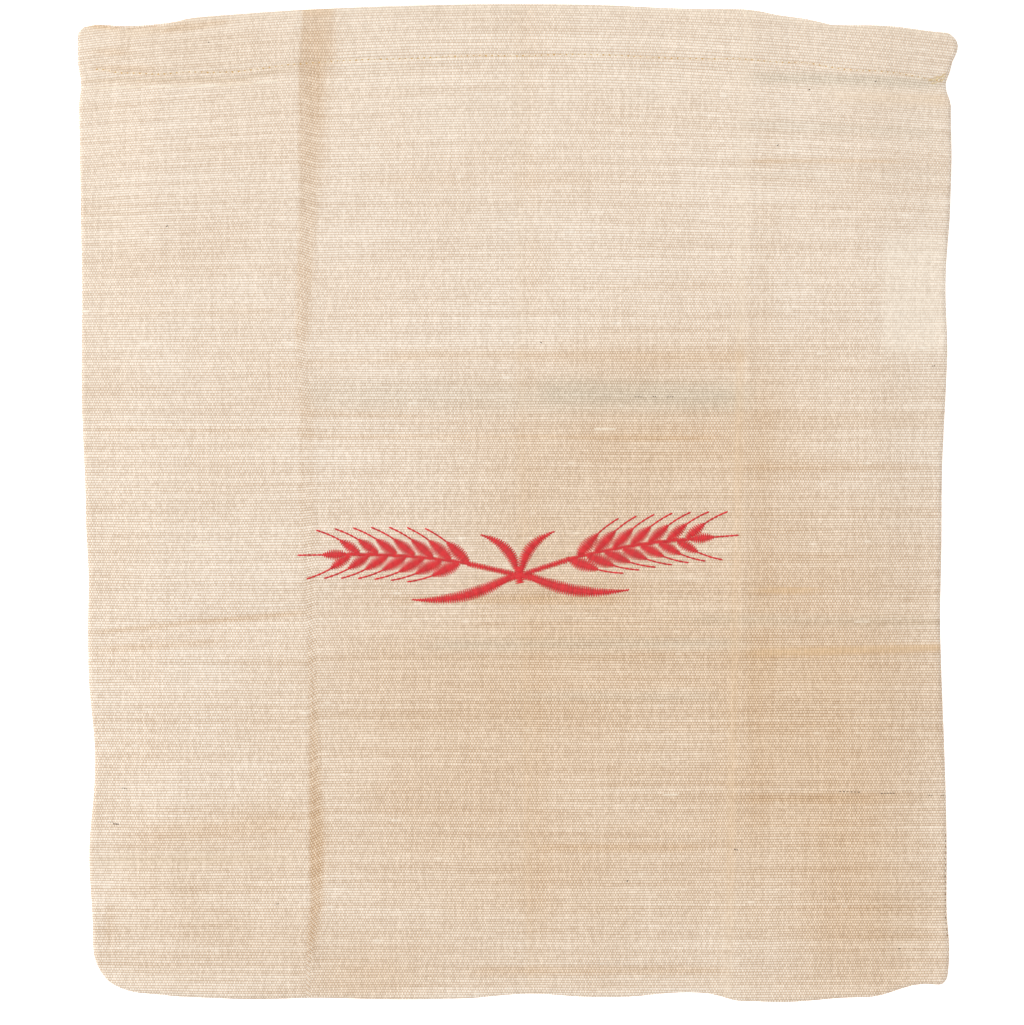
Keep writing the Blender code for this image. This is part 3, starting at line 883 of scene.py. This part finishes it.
class Graph:
    """Short calls for building a material from nodes."""

    def __init__(self, name):
        self.material = bpy.data.materials.new(name)
        self.material.use_nodes = True
        self.tree = self.material.node_tree
        self.shader = self.tree.nodes["Principled BSDF"]

    def feed(self, socket, value):
        """Link a socket to another, or set its value."""
        source = value.socket if isinstance(value, Value) else value
        if isinstance(source, bpy.types.NodeSocket):
            self.tree.links.new(source, socket)
        else:
            socket.default_value = value

    def node(self, kind, inputs=(), **settings):
        """A new node with its settings, its first inputs fed in order."""
        made = self.tree.nodes.new(kind)
        for name, value in settings.items():
            setattr(made, name, value)
        for socket, value in zip(made.inputs, inputs):
            self.feed(socket, value)
        return made

    def math(self, operation, *values):
        """One sum on numbers."""
        return Value(self, self.node("ShaderNodeMath", values, operation=operation).outputs[0])

    def span(self, value, low, high, to_low=0.0, to_high=1.0):
        """Value carried from the range low to high onto another range, and held there."""
        return Value(self, self.node("ShaderNodeMapRange", (value, low, high, to_low, to_high)).outputs[0])

    def mix(self, factor, first, second, mode="MIX"):
        """Two colours mixed."""
        made = self.node("ShaderNodeMix", data_type="RGBA", blend_type=mode)
        self.feed(made.inputs[0], factor)
        self.feed(made.inputs[6], first)
        self.feed(made.inputs[7], second)
        return made.outputs[2]

    def point(self, x, y, z):
        """A vector from three numbers."""
        return self.node("ShaderNodeCombineXYZ", (x, y, z)).outputs[0]

    def parts(self, vector):
        """The three numbers of a vector."""
        return [Value(self, output) for output in self.node("ShaderNodeSeparateXYZ", (vector,)).outputs]

    def place(self):
        """X and Y on the piece itself."""
        return self.parts(self.node("ShaderNodeTexCoord").outputs["Object"])[:2]

    def noise(self, x, y, seed, detail=2.0):
        """Soft noise from 0 to 1 at a place."""
        made = self.node("ShaderNodeTexNoise", noise_dimensions="3D")
        self.feed(made.inputs["Vector"], self.point(x, y, seed))
        self.feed(made.inputs["Scale"], 1.0)
        self.feed(made.inputs["Detail"], detail)
        return Value(self, made.outputs[0])

    def stored(self, name, output):
        """A value kept on the mesh's points."""
        return self.node("ShaderNodeAttribute", attribute_name=name).outputs[output]

    def stored_number(self, name, output):
        """A single number kept on the mesh's points."""
        return Value(self, self.stored(name, output))

    def bump(self, height, distance, strength=1.0):
        """Feed a height from 0 to 1, times distance, to the shader as bump."""
        made = self.node("ShaderNodeBump")
        self.feed(made.inputs["Strength"], strength)
        self.feed(made.inputs["Distance"], distance)
        self.feed(made.inputs["Height"], height)
        self.feed(self.shader.inputs["Normal"], made.outputs[0])

    def finish(self, **values):
        """Set the shader's own sockets, named with underscores for spaces."""
        for name, value in values.items():
            self.feed(self.shader.inputs[name.replace("_", " ")], value)
        return self.material


def rgb(red, green, blue):
    """A colour given as it looks on a screen, from 0 to 255, in linear light."""
    return tuple(((v / 255.0 + 0.055) / 1.055) ** 2.4 for v in (red, green, blue)) + (1.0,)


# Thread colours: wefts, warps where they pass over, and painted shade in the hollows between
WEFT_PALE = rgb(241, 232, 219)
WEFT_WARM = rgb(228, 203, 170)
WEFT_GREY = rgb(222, 212, 194)
WARP_PALE = rgb(219, 191, 160)
WARP_WARM = rgb(194, 149, 102)
WARP_GREY = rgb(186, 170, 144)
SHADED_HOLLOW_PALE = rgb(180, 134, 92)
SHADED_HOLLOW_WARM = rgb(140, 84, 34)
SHADED_HOLLOW_GREY = rgb(134, 112, 82)
SMOOTH_PALE = rgb(228, 212, 190)
SMOOTH_LIGHT = rgb(228, 200, 164)
SMOOTH_DARK = rgb(208, 172, 130)
BRIGHT = rgb(248, 236, 218)


def linen_material():
    """Coarse plain-weave linen: thick pale wefts and finer tan warps, uneven in tone and thickness."""
    g = Graph("linen_weave")
    x, y, _ = g.parts(g.stored("cloth_place", "Vector"))
    warm, grey, pale = g.parts(g.stored("cloth_tone_and_shade", "Vector"))
    smooth = g.span(g.stored("cloth_tone_and_shade", "Alpha"), 0.0, 1.0)

    def field(across, along, seed, detail=2.0):
        return g.noise(x / across, y / along, seed, detail)

    def wander(across, along, seed, reach):
        return (field(across, along, seed) - 0.5) * reach

    # Threads as they wander slowly: number of each, and place across it
    u = (x + wander(0.012, 0.030, 4.1, WARP * 3.0)) / WARP
    bent = wander(0.140, 0.080, 1.3, WEFT * 1.6) + wander(0.045, 0.0050, 7.7, WEFT * 0.9)
    v = (y + bent) / WEFT
    i = g.math("FLOOR", u)
    j = g.math("FLOOR", v)
    off_u = u - i - 0.5
    off_v = v - j - 0.5
    # Slow unevenness along each thread, and each bead's own
    long_weft = g.noise(x / 0.300, j * 1.37, 2.7)
    short_weft = g.noise(x / 0.050, j * 1.91, 5.2)
    streak = g.span(long_weft * 0.6 + short_weft * 0.4, 0.38, 0.62, -1.0, 1.0)
    warp_streak = g.span(g.noise(i * 1.71, y / 0.025, 8.3), 0.36, 0.64, -1.0, 1.0)
    slub = g.span(g.noise(x / 0.009, j * 1.91, 5.9, 1.0), 0.72, 0.82)
    bead_chance = g.node("ShaderNodeTexWhiteNoise", (g.point(i, j, 3.0),), noise_dimensions="3D").outputs[0]
    bead = g.span(bead_chance, 0.0, 1.0, -1.0, 1.0)
    # Cross sections, and which thread passes over
    weave_share = g.span(field(0.040, 0.030, 3.6), 0.35, 0.65, 0.27, 0.41) + g.span(warm, 0.0, 1.0) * 0.10
    weft_round = 1.0 - off_v * off_v * 4.0
    warp_round = 1.0 - off_u * off_u * 4.0
    weft_wave = g.math("COSINE", (u - 0.5 - j) * math.pi) * weave_share
    warp_wave = g.math("COSINE", (v - 0.5 - i) * math.pi) * -0.5
    weft_high = weft_wave + weft_round * (1.0 - weave_share) + slub * 0.3 + bead * 0.10
    warp_high = warp_wave + warp_round * 0.5
    height = g.math("MAXIMUM", weft_high, warp_high)
    # Each thread's colour darkens where it dips, painted shade, and the hollows take the painted shade colour
    over_weft = g.span(weft_high + streak * 0.05, 0.10, 0.70)
    over_warp = g.span(warp_high, 0.10, 0.70)
    # Tone: warmer or greyer in places; the warmth also carries painted shade
    cloud = g.span(field(0.060, 0.010, 6.6, 3.0), 0.35, 0.70, -0.05, 0.07)
    warmth_and_shade = g.span(warm + cloud + streak * -0.07 + warp_streak * -0.06, 0.0, 1.3, 0.0, 1.3)
    greyness = g.span(grey, 0.0, 1.0)

    def toned(pale_colour, warm_colour, grey_colour):
        return g.mix(greyness, g.mix(warmth_and_shade, pale_colour, warm_colour), grey_colour)

    weft_colour = toned(WEFT_PALE, WEFT_WARM, WEFT_GREY)
    warp_colour = toned(WARP_PALE, WARP_WARM, WARP_GREY)
    hollow_shade = toned(SHADED_HOLLOW_PALE, SHADED_HOLLOW_WARM, SHADED_HOLLOW_GREY)
    colour = g.mix(over_weft, g.mix(over_warp, hollow_shade, warp_colour), weft_colour)
    calm = g.span(y, -0.05, 0.17, 0.03, 0.22)
    colour = g.mix(calm, colour, g.mix(0.60, warp_colour, weft_colour))
    # Smooth thick wefts with faint ribs, and pale places
    ribbed = g.mix(g.span(g.math("SINE", u * math.pi), -1.0, 1.0), SMOOTH_DARK, SMOOTH_LIGHT)
    ribbed = g.mix(g.span(warm, 0.0, 0.35), SMOOTH_PALE, ribbed)
    colour = g.mix(smooth * 0.85, colour, ribbed)
    colour = g.mix(g.span(slub * 0.16 + pale * 0.30, 0.0, 1.0), colour, BRIGHT)
    shade = 1.0 + streak * 0.028 + warp_streak * 0.024 + bead * 0.06
    colour = g.mix(1.0, colour, g.point(shade, shade, shade), "MULTIPLY")
    g.bump(height * (1.0 - smooth * 0.7), 0.00016, 0.8)
    return g.finish(Base_Color=colour, Roughness=0.92, Sheen_Weight=0.08, Sheen_Roughness=0.6)


def thread_material(name, dark, bright, roughness, turns_per_metre):
    """Plied thread: each stitch has its own tone, with the slanting turns of its plies."""
    g = Graph(name)
    x, y = g.place()
    tone = g.stored_number("stitch_tone", "Fac")
    turns = g.span(g.math("SINE", (x + y) * (turns_per_metre * 2.0 * math.pi)), -1.0, 1.0)
    fuzz = g.noise(x / 0.0006, y / 0.0006, 3.3)
    share = g.span(tone * 0.75 + turns * 0.15 + fuzz * 0.20, 0.0, 1.0)
    g.bump(turns * 0.7 + fuzz * 0.3, 0.00005, 0.8)
    return g.finish(Base_Color=g.mix(share, dark, bright), Roughness=roughness, Sheen_Weight=0.1)


def plain_fibre_material(name, dark, bright, roughness):
    """Matt plant fibre or shadowed needle hole, slightly mottled."""
    g = Graph(name)
    x, y = g.place()
    spots = g.noise(x / 0.0008, y / 0.0008, 9.2)
    g.bump(spots, 0.00004, 0.6)
    return g.finish(Base_Color=g.mix(g.span(spots, 0.3, 0.7), dark, bright), Roughness=roughness)


def label_material():
    """Blank woven tape: a fine warp-faced rib with slightly uneven threads."""
    g = Graph("label_tape")
    x, y = g.place()
    ribs = g.math("SINE", y * (2.0 * math.pi / 0.00045))
    warps = g.math("SINE", x * (2.0 * math.pi / 0.00030))
    high = g.span(ribs * 0.7 + warps * 0.3, -1.0, 1.0)
    share = high * 0.6 + g.noise(x / 0.004, y / 0.0009, 2.2) * 0.4
    g.bump(high, 0.00006, 0.7)
    return g.finish(Base_Color=g.mix(share, rgb(214, 207, 194), rgb(246, 242, 234)), Roughness=0.62)


Stitch = namedtuple("Stitch", "start end width arch tone")


def thread_bars(name, material, stitches, thickness, sides=6, steps=5):
    """Stitches as short bowed bars of thread, all in one mesh.

    Each rises by its arch at the middle and dips at its ends.
    """
    starts, ends, widths, arches, tones = (np.array(column) for column in zip(*stitches))
    along = ends - starts
    level = np.stack((-along[:, 1], along[:, 0], np.zeros(len(along))), axis=-1)
    level /= np.linalg.norm(level, axis=1)[:, None]
    share = np.linspace(0.0, 1.0, steps)
    taper = 0.45 + 0.55 * np.sin(np.pi * share) ** 0.5
    rise = arches[:, None] * np.sin(np.pi * share)[None, :]
    turn = 2.0 * np.pi * np.arange(sides) / sides
    middle = starts[:, None, None, :] + along[:, None, None, :] * share[None, :, None, None]
    side = widths[:, None, None] / 2.0 * taper[None, :, None] * np.cos(turn)[None, None, :]
    up = rise[:, :, None] + thickness / 2.0 * taper[None, :, None] * np.sin(turn)[None, None, :]
    points = middle + level[:, None, None, :] * side[..., None] + np.array((0.0, 0.0, 1.0)) * up[..., None]
    each = steps * sides
    template = []
    for low in range(0, each - sides, sides):
        for n in range(sides):
            m = (n + 1) % sides
            template.append((low + n, low + m, low + sides + m, low + sides + n))
    template.append(tuple(range(sides - 1, -1, -1)))
    template.append(tuple(each - sides + n for n in range(sides)))
    faces = [tuple(s * each + v for v in face) for s in range(len(stitches)) for face in template]
    thing = make_object(name, points.reshape(-1, 3), faces, material)
    add_values(thing.data, "stitch_tone", "FLOAT", np.repeat(tones, each))
    return thing


def on_front(x, y, above=ABOVE_CLOTH):
    """A point just above the front's outer face."""
    return np.array((x, y, float(front_top(x, y)) + above))


def hem_line(x, front):
    """Y of the hem's stitching at x."""
    return float(mouth_edge(x, front) - hem_depth(x))


def hem_places(count):
    """X of each needle hole along the hem."""
    return [HEM_STITCH_FROM + (HEM_STITCH_TO - HEM_STITCH_FROM) * k / count for k in range(count + 1)]


def make_hem_stitches(front, thread, hole):
    """One layer's row of lockstitch along the hem, with tan bars of painted shade in the needle holes between
    the stitches.
    """
    rng = np.random.default_rng(21 if front else 22)
    sizes = HEM_FRONT if front else HEM_BACK
    places = hem_places(int(round((HEM_STITCH_TO - HEM_STITCH_FROM) / HEM_STITCH_PITCH)))
    stitches = []
    holes = []

    def place(x):
        y = hem_line(x, front) + rng.uniform(-0.00008, 0.00008)
        return on_front(x, y) if front else np.array((x, y, BACK_THREAD_Z))

    # Each needle hole: a flat tan bar of painted shade
    for x in places:
        ends = (place(x - HOLE_LENGTH / 2.0), place(x + HOLE_LENGTH / 2.0))
        holes.append(Stitch(*ends, HOLE.width * rng.uniform(0.45, 1.25), HOLE.arch, rng.uniform()))
    for low, high in zip(places[:-1], places[1:]):
        middle = (low + high) / 2.0
        half = HEM_STITCH_LENGTH / 2.0 * rng.uniform(0.9, 1.0)
        ends = (place(middle - half), place(middle + half))
        stitches.append(Stitch(*ends, sizes.width, sizes.arch, rng.uniform(0.3, 1.0)))
    side = "front" if front else "back"
    rows = thread_bars("hem_stitches_" + side, thread, stitches, sizes.thickness)
    dots = thread_bars("needle_hole_shade_" + side, hole, holes, HOLE.thickness, steps=4)
    return rows, dots


def make_tack(thread):
    """Back-and-forth stitches that lock the hem's row at the top of the side seam."""
    rng = np.random.default_rng(23)
    stitches = []
    for k in range(TACK_STITCHES):
        share = k / (TACK_STITCHES - 1.0)
        x = TACK_LEFT_X + (TACK_RIGHT_X - TACK_LEFT_X) * share
        y = TACK_Y + rng.uniform(-0.0012, 0.0012) + TACK_RISE * share
        turn = math.radians(TACK_DEGREES * share + rng.uniform(-16.0, 16.0))
        half = TACK_LENGTH / 2.0 * rng.uniform(0.8, 1.15)
        along = half * math.cos(turn)
        up = half * math.sin(turn)
        ends = (on_front(x - along, y - up), on_front(x + along, y + up))
        stitches.append(Stitch(*ends, TACK.width, TACK.arch, rng.uniform(0.0, 1.0)))
    return thread_bars("seam_tack", thread, stitches, TACK.thickness)


def make_seam_stitches(thread):
    """Short overlock loops that show at the lower right edge."""
    rng = np.random.default_rng(24)
    count = int(round((SEAM_STITCH_TO - SEAM_STITCH_FROM) / SEAM_STITCH_PITCH))
    stitches = []
    for k in range(count + 1):
        y = SEAM_STITCH_FROM + (SEAM_STITCH_TO - SEAM_STITCH_FROM) * k / count
        x = float(right_edge(y)) - rng.uniform(0.0004, 0.0008)
        half = rng.uniform(0.00035, 0.00060)
        ends = (on_front(x, y - half), on_front(x - 0.0001, y + half))
        stitches.append(Stitch(*ends, OVERLOCK.width, OVERLOCK.arch, rng.uniform()))
    return thread_bars("overlock_stitches", thread, stitches, OVERLOCK.thickness, steps=4)


def make_flecks(material):
    """Bits of stalk lying in the weave, each showing where no thread covers it."""
    rng = np.random.default_rng(25)
    stitches = []
    for row in FLECKS:
        turn = math.radians(row.degrees)
        heading = np.array((math.cos(turn), math.sin(turn)))
        step = row.length / row.bits
        for k in range(row.bits):
            middle = np.array((row.x, row.y)) + heading * step * (k + 0.5 - row.bits / 2.0)
            half = heading * step * (0.5 if row.bits == 1 else rng.uniform(0.22, 0.36))
            ends = (on_front(*(middle - half), STALK_ABOVE), on_front(*(middle + half), STALK_ABOVE))
            stitches.append(Stitch(*ends, row.width * rng.uniform(0.8, 1.4), STALK_ARCH, 0.5))
    return thread_bars("plant_flecks", material, stitches, STALK_THICKNESS, sides=5, steps=4)


def make_pale_wefts(thread):
    """The pale wefts, each as short lengths that follow the front."""
    rng = np.random.default_rng(26)
    stitches = []
    for row in PALE_WEFTS:
        count = max(2, int(round((row.x_to - row.x_from) / PALE_STEP)))
        xs = np.linspace(row.x_from, row.x_to, count + 1)
        ys = np.linspace(row.y_from, row.y_to, count + 1)
        for k in range(count):
            ends = (on_front(xs[k] - PALE_LAP, ys[k]), on_front(xs[k + 1] + PALE_LAP, ys[k + 1]))
            width = row.width * rng.uniform(0.75, 1.2)
            stitches.append(Stitch(*ends, width, PALE_ARCH, rng.uniform(0.4, 1.0)))
    return thread_bars("pale_wefts", thread, stitches, PALE_THICKNESS)


def curve_point(curve, t):
    """A point on a curve of three control points."""
    a, b, c = (np.array(point) for point in curve)
    return (1.0 - t) ** 2 * a + 2.0 * t * (1.0 - t) * b + t * t * c


def curve_length(curve):
    """Length of such a curve."""
    points = [curve_point(curve, k / 24.0) for k in range(25)]
    return sum(float(np.linalg.norm(b - a)) for a, b in zip(points[:-1], points[1:]))


def curve_heading(curve, t):
    """Unit direction of such a curve at t."""
    step = curve_point(curve, min(t + 0.01, 1.0)) - curve_point(curve, max(t - 0.01, 0.0))
    return step / np.linalg.norm(step)


def on_motif(point):
    """A point of the motif's own flat frame, laid on the front."""
    turn = math.radians(MOTIF_DEGREES)
    x = MOTIF_X + point[0] * math.cos(turn) - point[1] * math.sin(turn)
    y = MOTIF_Y + point[0] * math.sin(turn) + point[1] * math.cos(turn)
    return on_front(x, y)


def satin(curve, half_width, rng):
    """Zigzag stitches across a column along a curve; half_width gives its half width at t."""
    count = max(4, int(round(curve_length(curve) / SATIN_STEP)))
    stitches = []
    for k in range(count + 1):
        t = (k + 0.5) / (count + 1.0)
        heading = curve_heading(curve, t)
        across = np.array((-heading[1], heading[0]))
        reach = max(half_width(t), SATIN_LEAST_REACH)
        lean = heading * SATIN_STEP * (0.5 if k % 2 else -0.5)
        near = curve_point(curve, t) - across * (reach + rng.uniform(-SATIN_UNEVEN, SATIN_UNEVEN)) - lean
        far = curve_point(curve, t) + across * (reach + rng.uniform(-SATIN_UNEVEN, SATIN_UNEVEN)) + lean
        arch = SATIN_ARCH + SATIN_ARCH_SHARE * reach
        stitches.append(Stitch(on_motif(near), on_motif(far), SATIN_THREAD, arch, rng.uniform(0.45, 1.0)))
    return stitches


def running(curve, rng):
    """A single line of overlapping stitches along a curve."""
    count = max(2, int(round(curve_length(curve) / AWN_STITCH)))
    stitches = []
    for k in range(count):
        ends = [on_motif(curve_point(curve, t)) for t in (k / count, min((k + 1.15) / count, 1.0))]
        stitches.append(Stitch(*ends, AWN_THREAD, AWN_ARCH, rng.uniform(0.4, 0.95)))
    return stitches


def leaf_shape(half):
    """Half width of a leaf that swells from its base and runs out to a point."""
    return lambda t: half * math.sin(math.pi * min(t, 1.0) ** 0.75) ** 0.8


def kernel_shape(half):
    """Half width of a grain, fullest below its middle."""
    return lambda t: half * math.sin(math.pi * (0.06 + 0.90 * t) ** 0.85) ** 0.75


def turned(vector, degrees):
    """A flat vector turned anticlockwise."""
    turn = math.radians(degrees)
    x, y = vector
    return np.array((x * math.cos(turn) - y * math.sin(turn), x * math.sin(turn) + y * math.cos(turn)))


def grain(base, heading, length, rng):
    """One grain and the awn that runs on from its tip."""
    tip = base + heading * length
    bulge = (base + tip) / 2.0
    stitches = satin((base, bulge, tip), kernel_shape(KERNEL_HALF * length / KERNEL_LENGTH), rng)
    return stitches, tip


def ear(axis, rng):
    """An ear of wheat along a curve: paired grains, one at the tip, and their awns."""
    stitches = satin(axis, lambda t: AXIS_HALF, rng)
    length = curve_length(axis)
    for pair in range(KERNEL_PAIRS):
        for side in (-1.0, 1.0):
            along = (pair + 0.25 + 0.25 * side) * KERNEL_SPACING
            t = min(along / length, 1.0)
            forward = curve_heading(axis, t)
            size = KERNEL_LENGTH * (1.0 - 0.035 * pair)
            outward = turned(forward, side * KERNEL_DEGREES)
            base = curve_point(axis, t) + outward * 0.0009
            seed, tip = grain(base, outward, size, rng)
            bend = tip + turned(forward, side * 30.0) * AWN_LENGTH * 0.4
            end = bend + turned(forward, side * 16.0) * AWN_LENGTH * 0.45
            stitches += running((tip, bend, end), rng) + seed
    forward = curve_heading(axis, 1.0)
    seed, tip = grain(curve_point(axis, 1.0), forward, KERNEL_LENGTH * 0.8, rng)
    return stitches + running((tip, tip + forward * 0.005, tip + forward * 0.010), rng) + seed


def mirrored(curve, side):
    """A curve as drawn for the left, or flipped over to the right."""
    return tuple((point[0] * side, point[1]) for point in curve)


def make_wheat(material):
    """Two crossed stalks of wheat with leaves, in red satin stitch."""
    rng = np.random.default_rng(31)
    stitches = []
    for side in (1.0, -1.0):
        axis = mirrored(((-0.0200, 0.0010), (-0.0440, 0.0062), (-0.0700, 0.0070)), side)
        stem = mirrored(((0.0190, -0.0105), (0.0020, -0.0050), (-0.0205, 0.0010)), side)
        low_leaf = mirrored(((-0.0030, -0.0040), (-0.0200, -0.0150), (-0.0440, -0.0125)), side)
        high_leaf = mirrored(((-0.0010, -0.0035), (-0.0020, 0.0080), (-0.0150, 0.0125)), side)
        stitches += satin(low_leaf, leaf_shape(0.0026), rng)
        stitches += satin(high_leaf, leaf_shape(0.0024), rng)
        stitches += satin(stem, lambda t: STEM_HALF, rng)
        stitches += ear(axis, rng)
    stitches += satin(((0.0, -0.0078), (0.0, -0.0045), (0.0, -0.0012)), lambda t: KNOT_HALF, rng)
    return thread_bars("stitched_wheat", material, stitches, SATIN_THICKNESS)


def make_floor():
    """Plain pale floor, bright enough to read as white paper."""
    g = Graph("floor_paper")
    x, y = g.place()
    paper = g.mix(g.noise(x / 0.4, y / 0.4, 1.1), rgb(244, 244, 244), rgb(250, 250, 250))
    white = (1.0, 1.0, 1.0, 1.0)
    material = g.finish(Base_Color=paper, Roughness=0.9, Emission_Color=white, Emission_Strength=FLOOR_GLOW)
    turns = ((-1.0, -1.0), (1.0, -1.0), (1.0, 1.0), (-1.0, 1.0))
    corners = np.array([(FLOOR_HALF * across, FLOOR_HALF * along, FLOOR_Z) for across, along in turns])
    floor = make_object("floor", corners, [(0, 1, 2, 3)], material)


def aim(thing, place, target):
    """Put a light or camera at a place, looking at a target."""
    thing.location = place
    thing.rotation_euler = (Vector(target) - Vector(place)).to_track_quat("-Z", "Y").to_euler()
    bpy.context.scene.collection.objects.link(thing)


def make_lights():
    """One broad window-like light from the upper left, and soft fill from all round."""
    light = bpy.data.lights.new("key", "AREA")
    light.shape = "SQUARE"
    light.size = KEY_SIZE
    light.energy = KEY_POWER
    aim(bpy.data.objects.new("key", light), KEY_PLACE, (0.0, 0.0, 0.0))
    world = bpy.data.worlds.new("studio")
    world.use_nodes = True
    background = world.node_tree.nodes["Background"]
    background.inputs["Color"].default_value = (1.0, 1.0, 1.0, 1.0)
    background.inputs["Strength"].default_value = FILL_STRENGTH
    bpy.context.scene.world = world
    bpy.context.scene.view_settings.view_transform = "Standard"


def make_camera():
    """Camera looking straight down, framed as the photograph is."""
    camera = bpy.data.cameras.new("camera")
    camera.sensor_fit = "HORIZONTAL"
    camera.sensor_width = SENSOR * 1000.0
    camera.lens = SENSOR * CAMERA_DISTANCE / (PHOTO_WIDTH_PX * PIXEL) * 1000.0
    thing = bpy.data.objects.new("camera", camera)
    thing.location = (
        (PHOTO_WIDTH_PX / 2.0 - BAG_CENTRE_PX[0]) * PIXEL,
        (BAG_CENTRE_PX[1] - PHOTO_HEIGHT_PX / 2.0) * PIXEL,
        EDGE_RADIUS + CAMERA_DISTANCE,
    )
    bpy.context.scene.collection.objects.link(thing)
    bpy.context.scene.camera = thing


def belongs(piece):
    """The piece moves with the bag."""
    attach(piece, "root")


linen = linen_material()
hem_thread = thread_material("cream_thread", rgb(206, 178, 142), rgb(240, 228, 206), 0.7, 900.0)
weft_thread = thread_material("pale_weft_thread", rgb(222, 204, 178), rgb(242, 230, 210), 0.8, 900.0)
tack_thread = thread_material("straw_thread", rgb(196, 160, 104), rgb(236, 222, 180), 0.65, 900.0)
seam_thread = thread_material("brown_thread", rgb(96, 70, 48), rgb(150, 118, 86), 0.75, 900.0)
red_thread = thread_material("red_thread", rgb(150, 8, 18), rgb(226, 34, 40), 0.5, 1400.0)
hole_shade = plain_fibre_material("needle_hole", rgb(186, 142, 74), rgb(212, 172, 108), 0.95)
stalk = plain_fibre_material("stalk_bits", rgb(58, 44, 32), rgb(104, 82, 60), 0.85)

front_cloth = make_layer("front_cloth", True, FRONT_COLUMN_PITCH, FRONT_ROW_PITCH, linen)
back_cloth = make_layer("back_cloth", False, BACK_COLUMN_PITCH, BACK_ROW_PITCH, linen)
front_rows, front_holes = make_hem_stitches(True, hem_thread, hole_shade)
back_rows, back_holes = make_hem_stitches(False, hem_thread, hole_shade)
tack = make_tack(tack_thread)
seam_stitches = make_seam_stitches(seam_thread)
flecks = make_flecks(stalk)
pale_wefts = make_pale_wefts(weft_thread)
wheat = make_wheat(red_thread)
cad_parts["inner_label"].material_slots[0].material = label_material()

for cloth in (front_cloth, back_cloth):
    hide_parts("bag_cloth")
sewn = [front_rows, front_holes, tack, seam_stitches, flecks, pale_wefts, wheat]
for piece in [front_cloth, back_cloth, back_rows, back_holes] + sewn:
    belongs(piece)

make_floor()
make_lights()
make_camera()
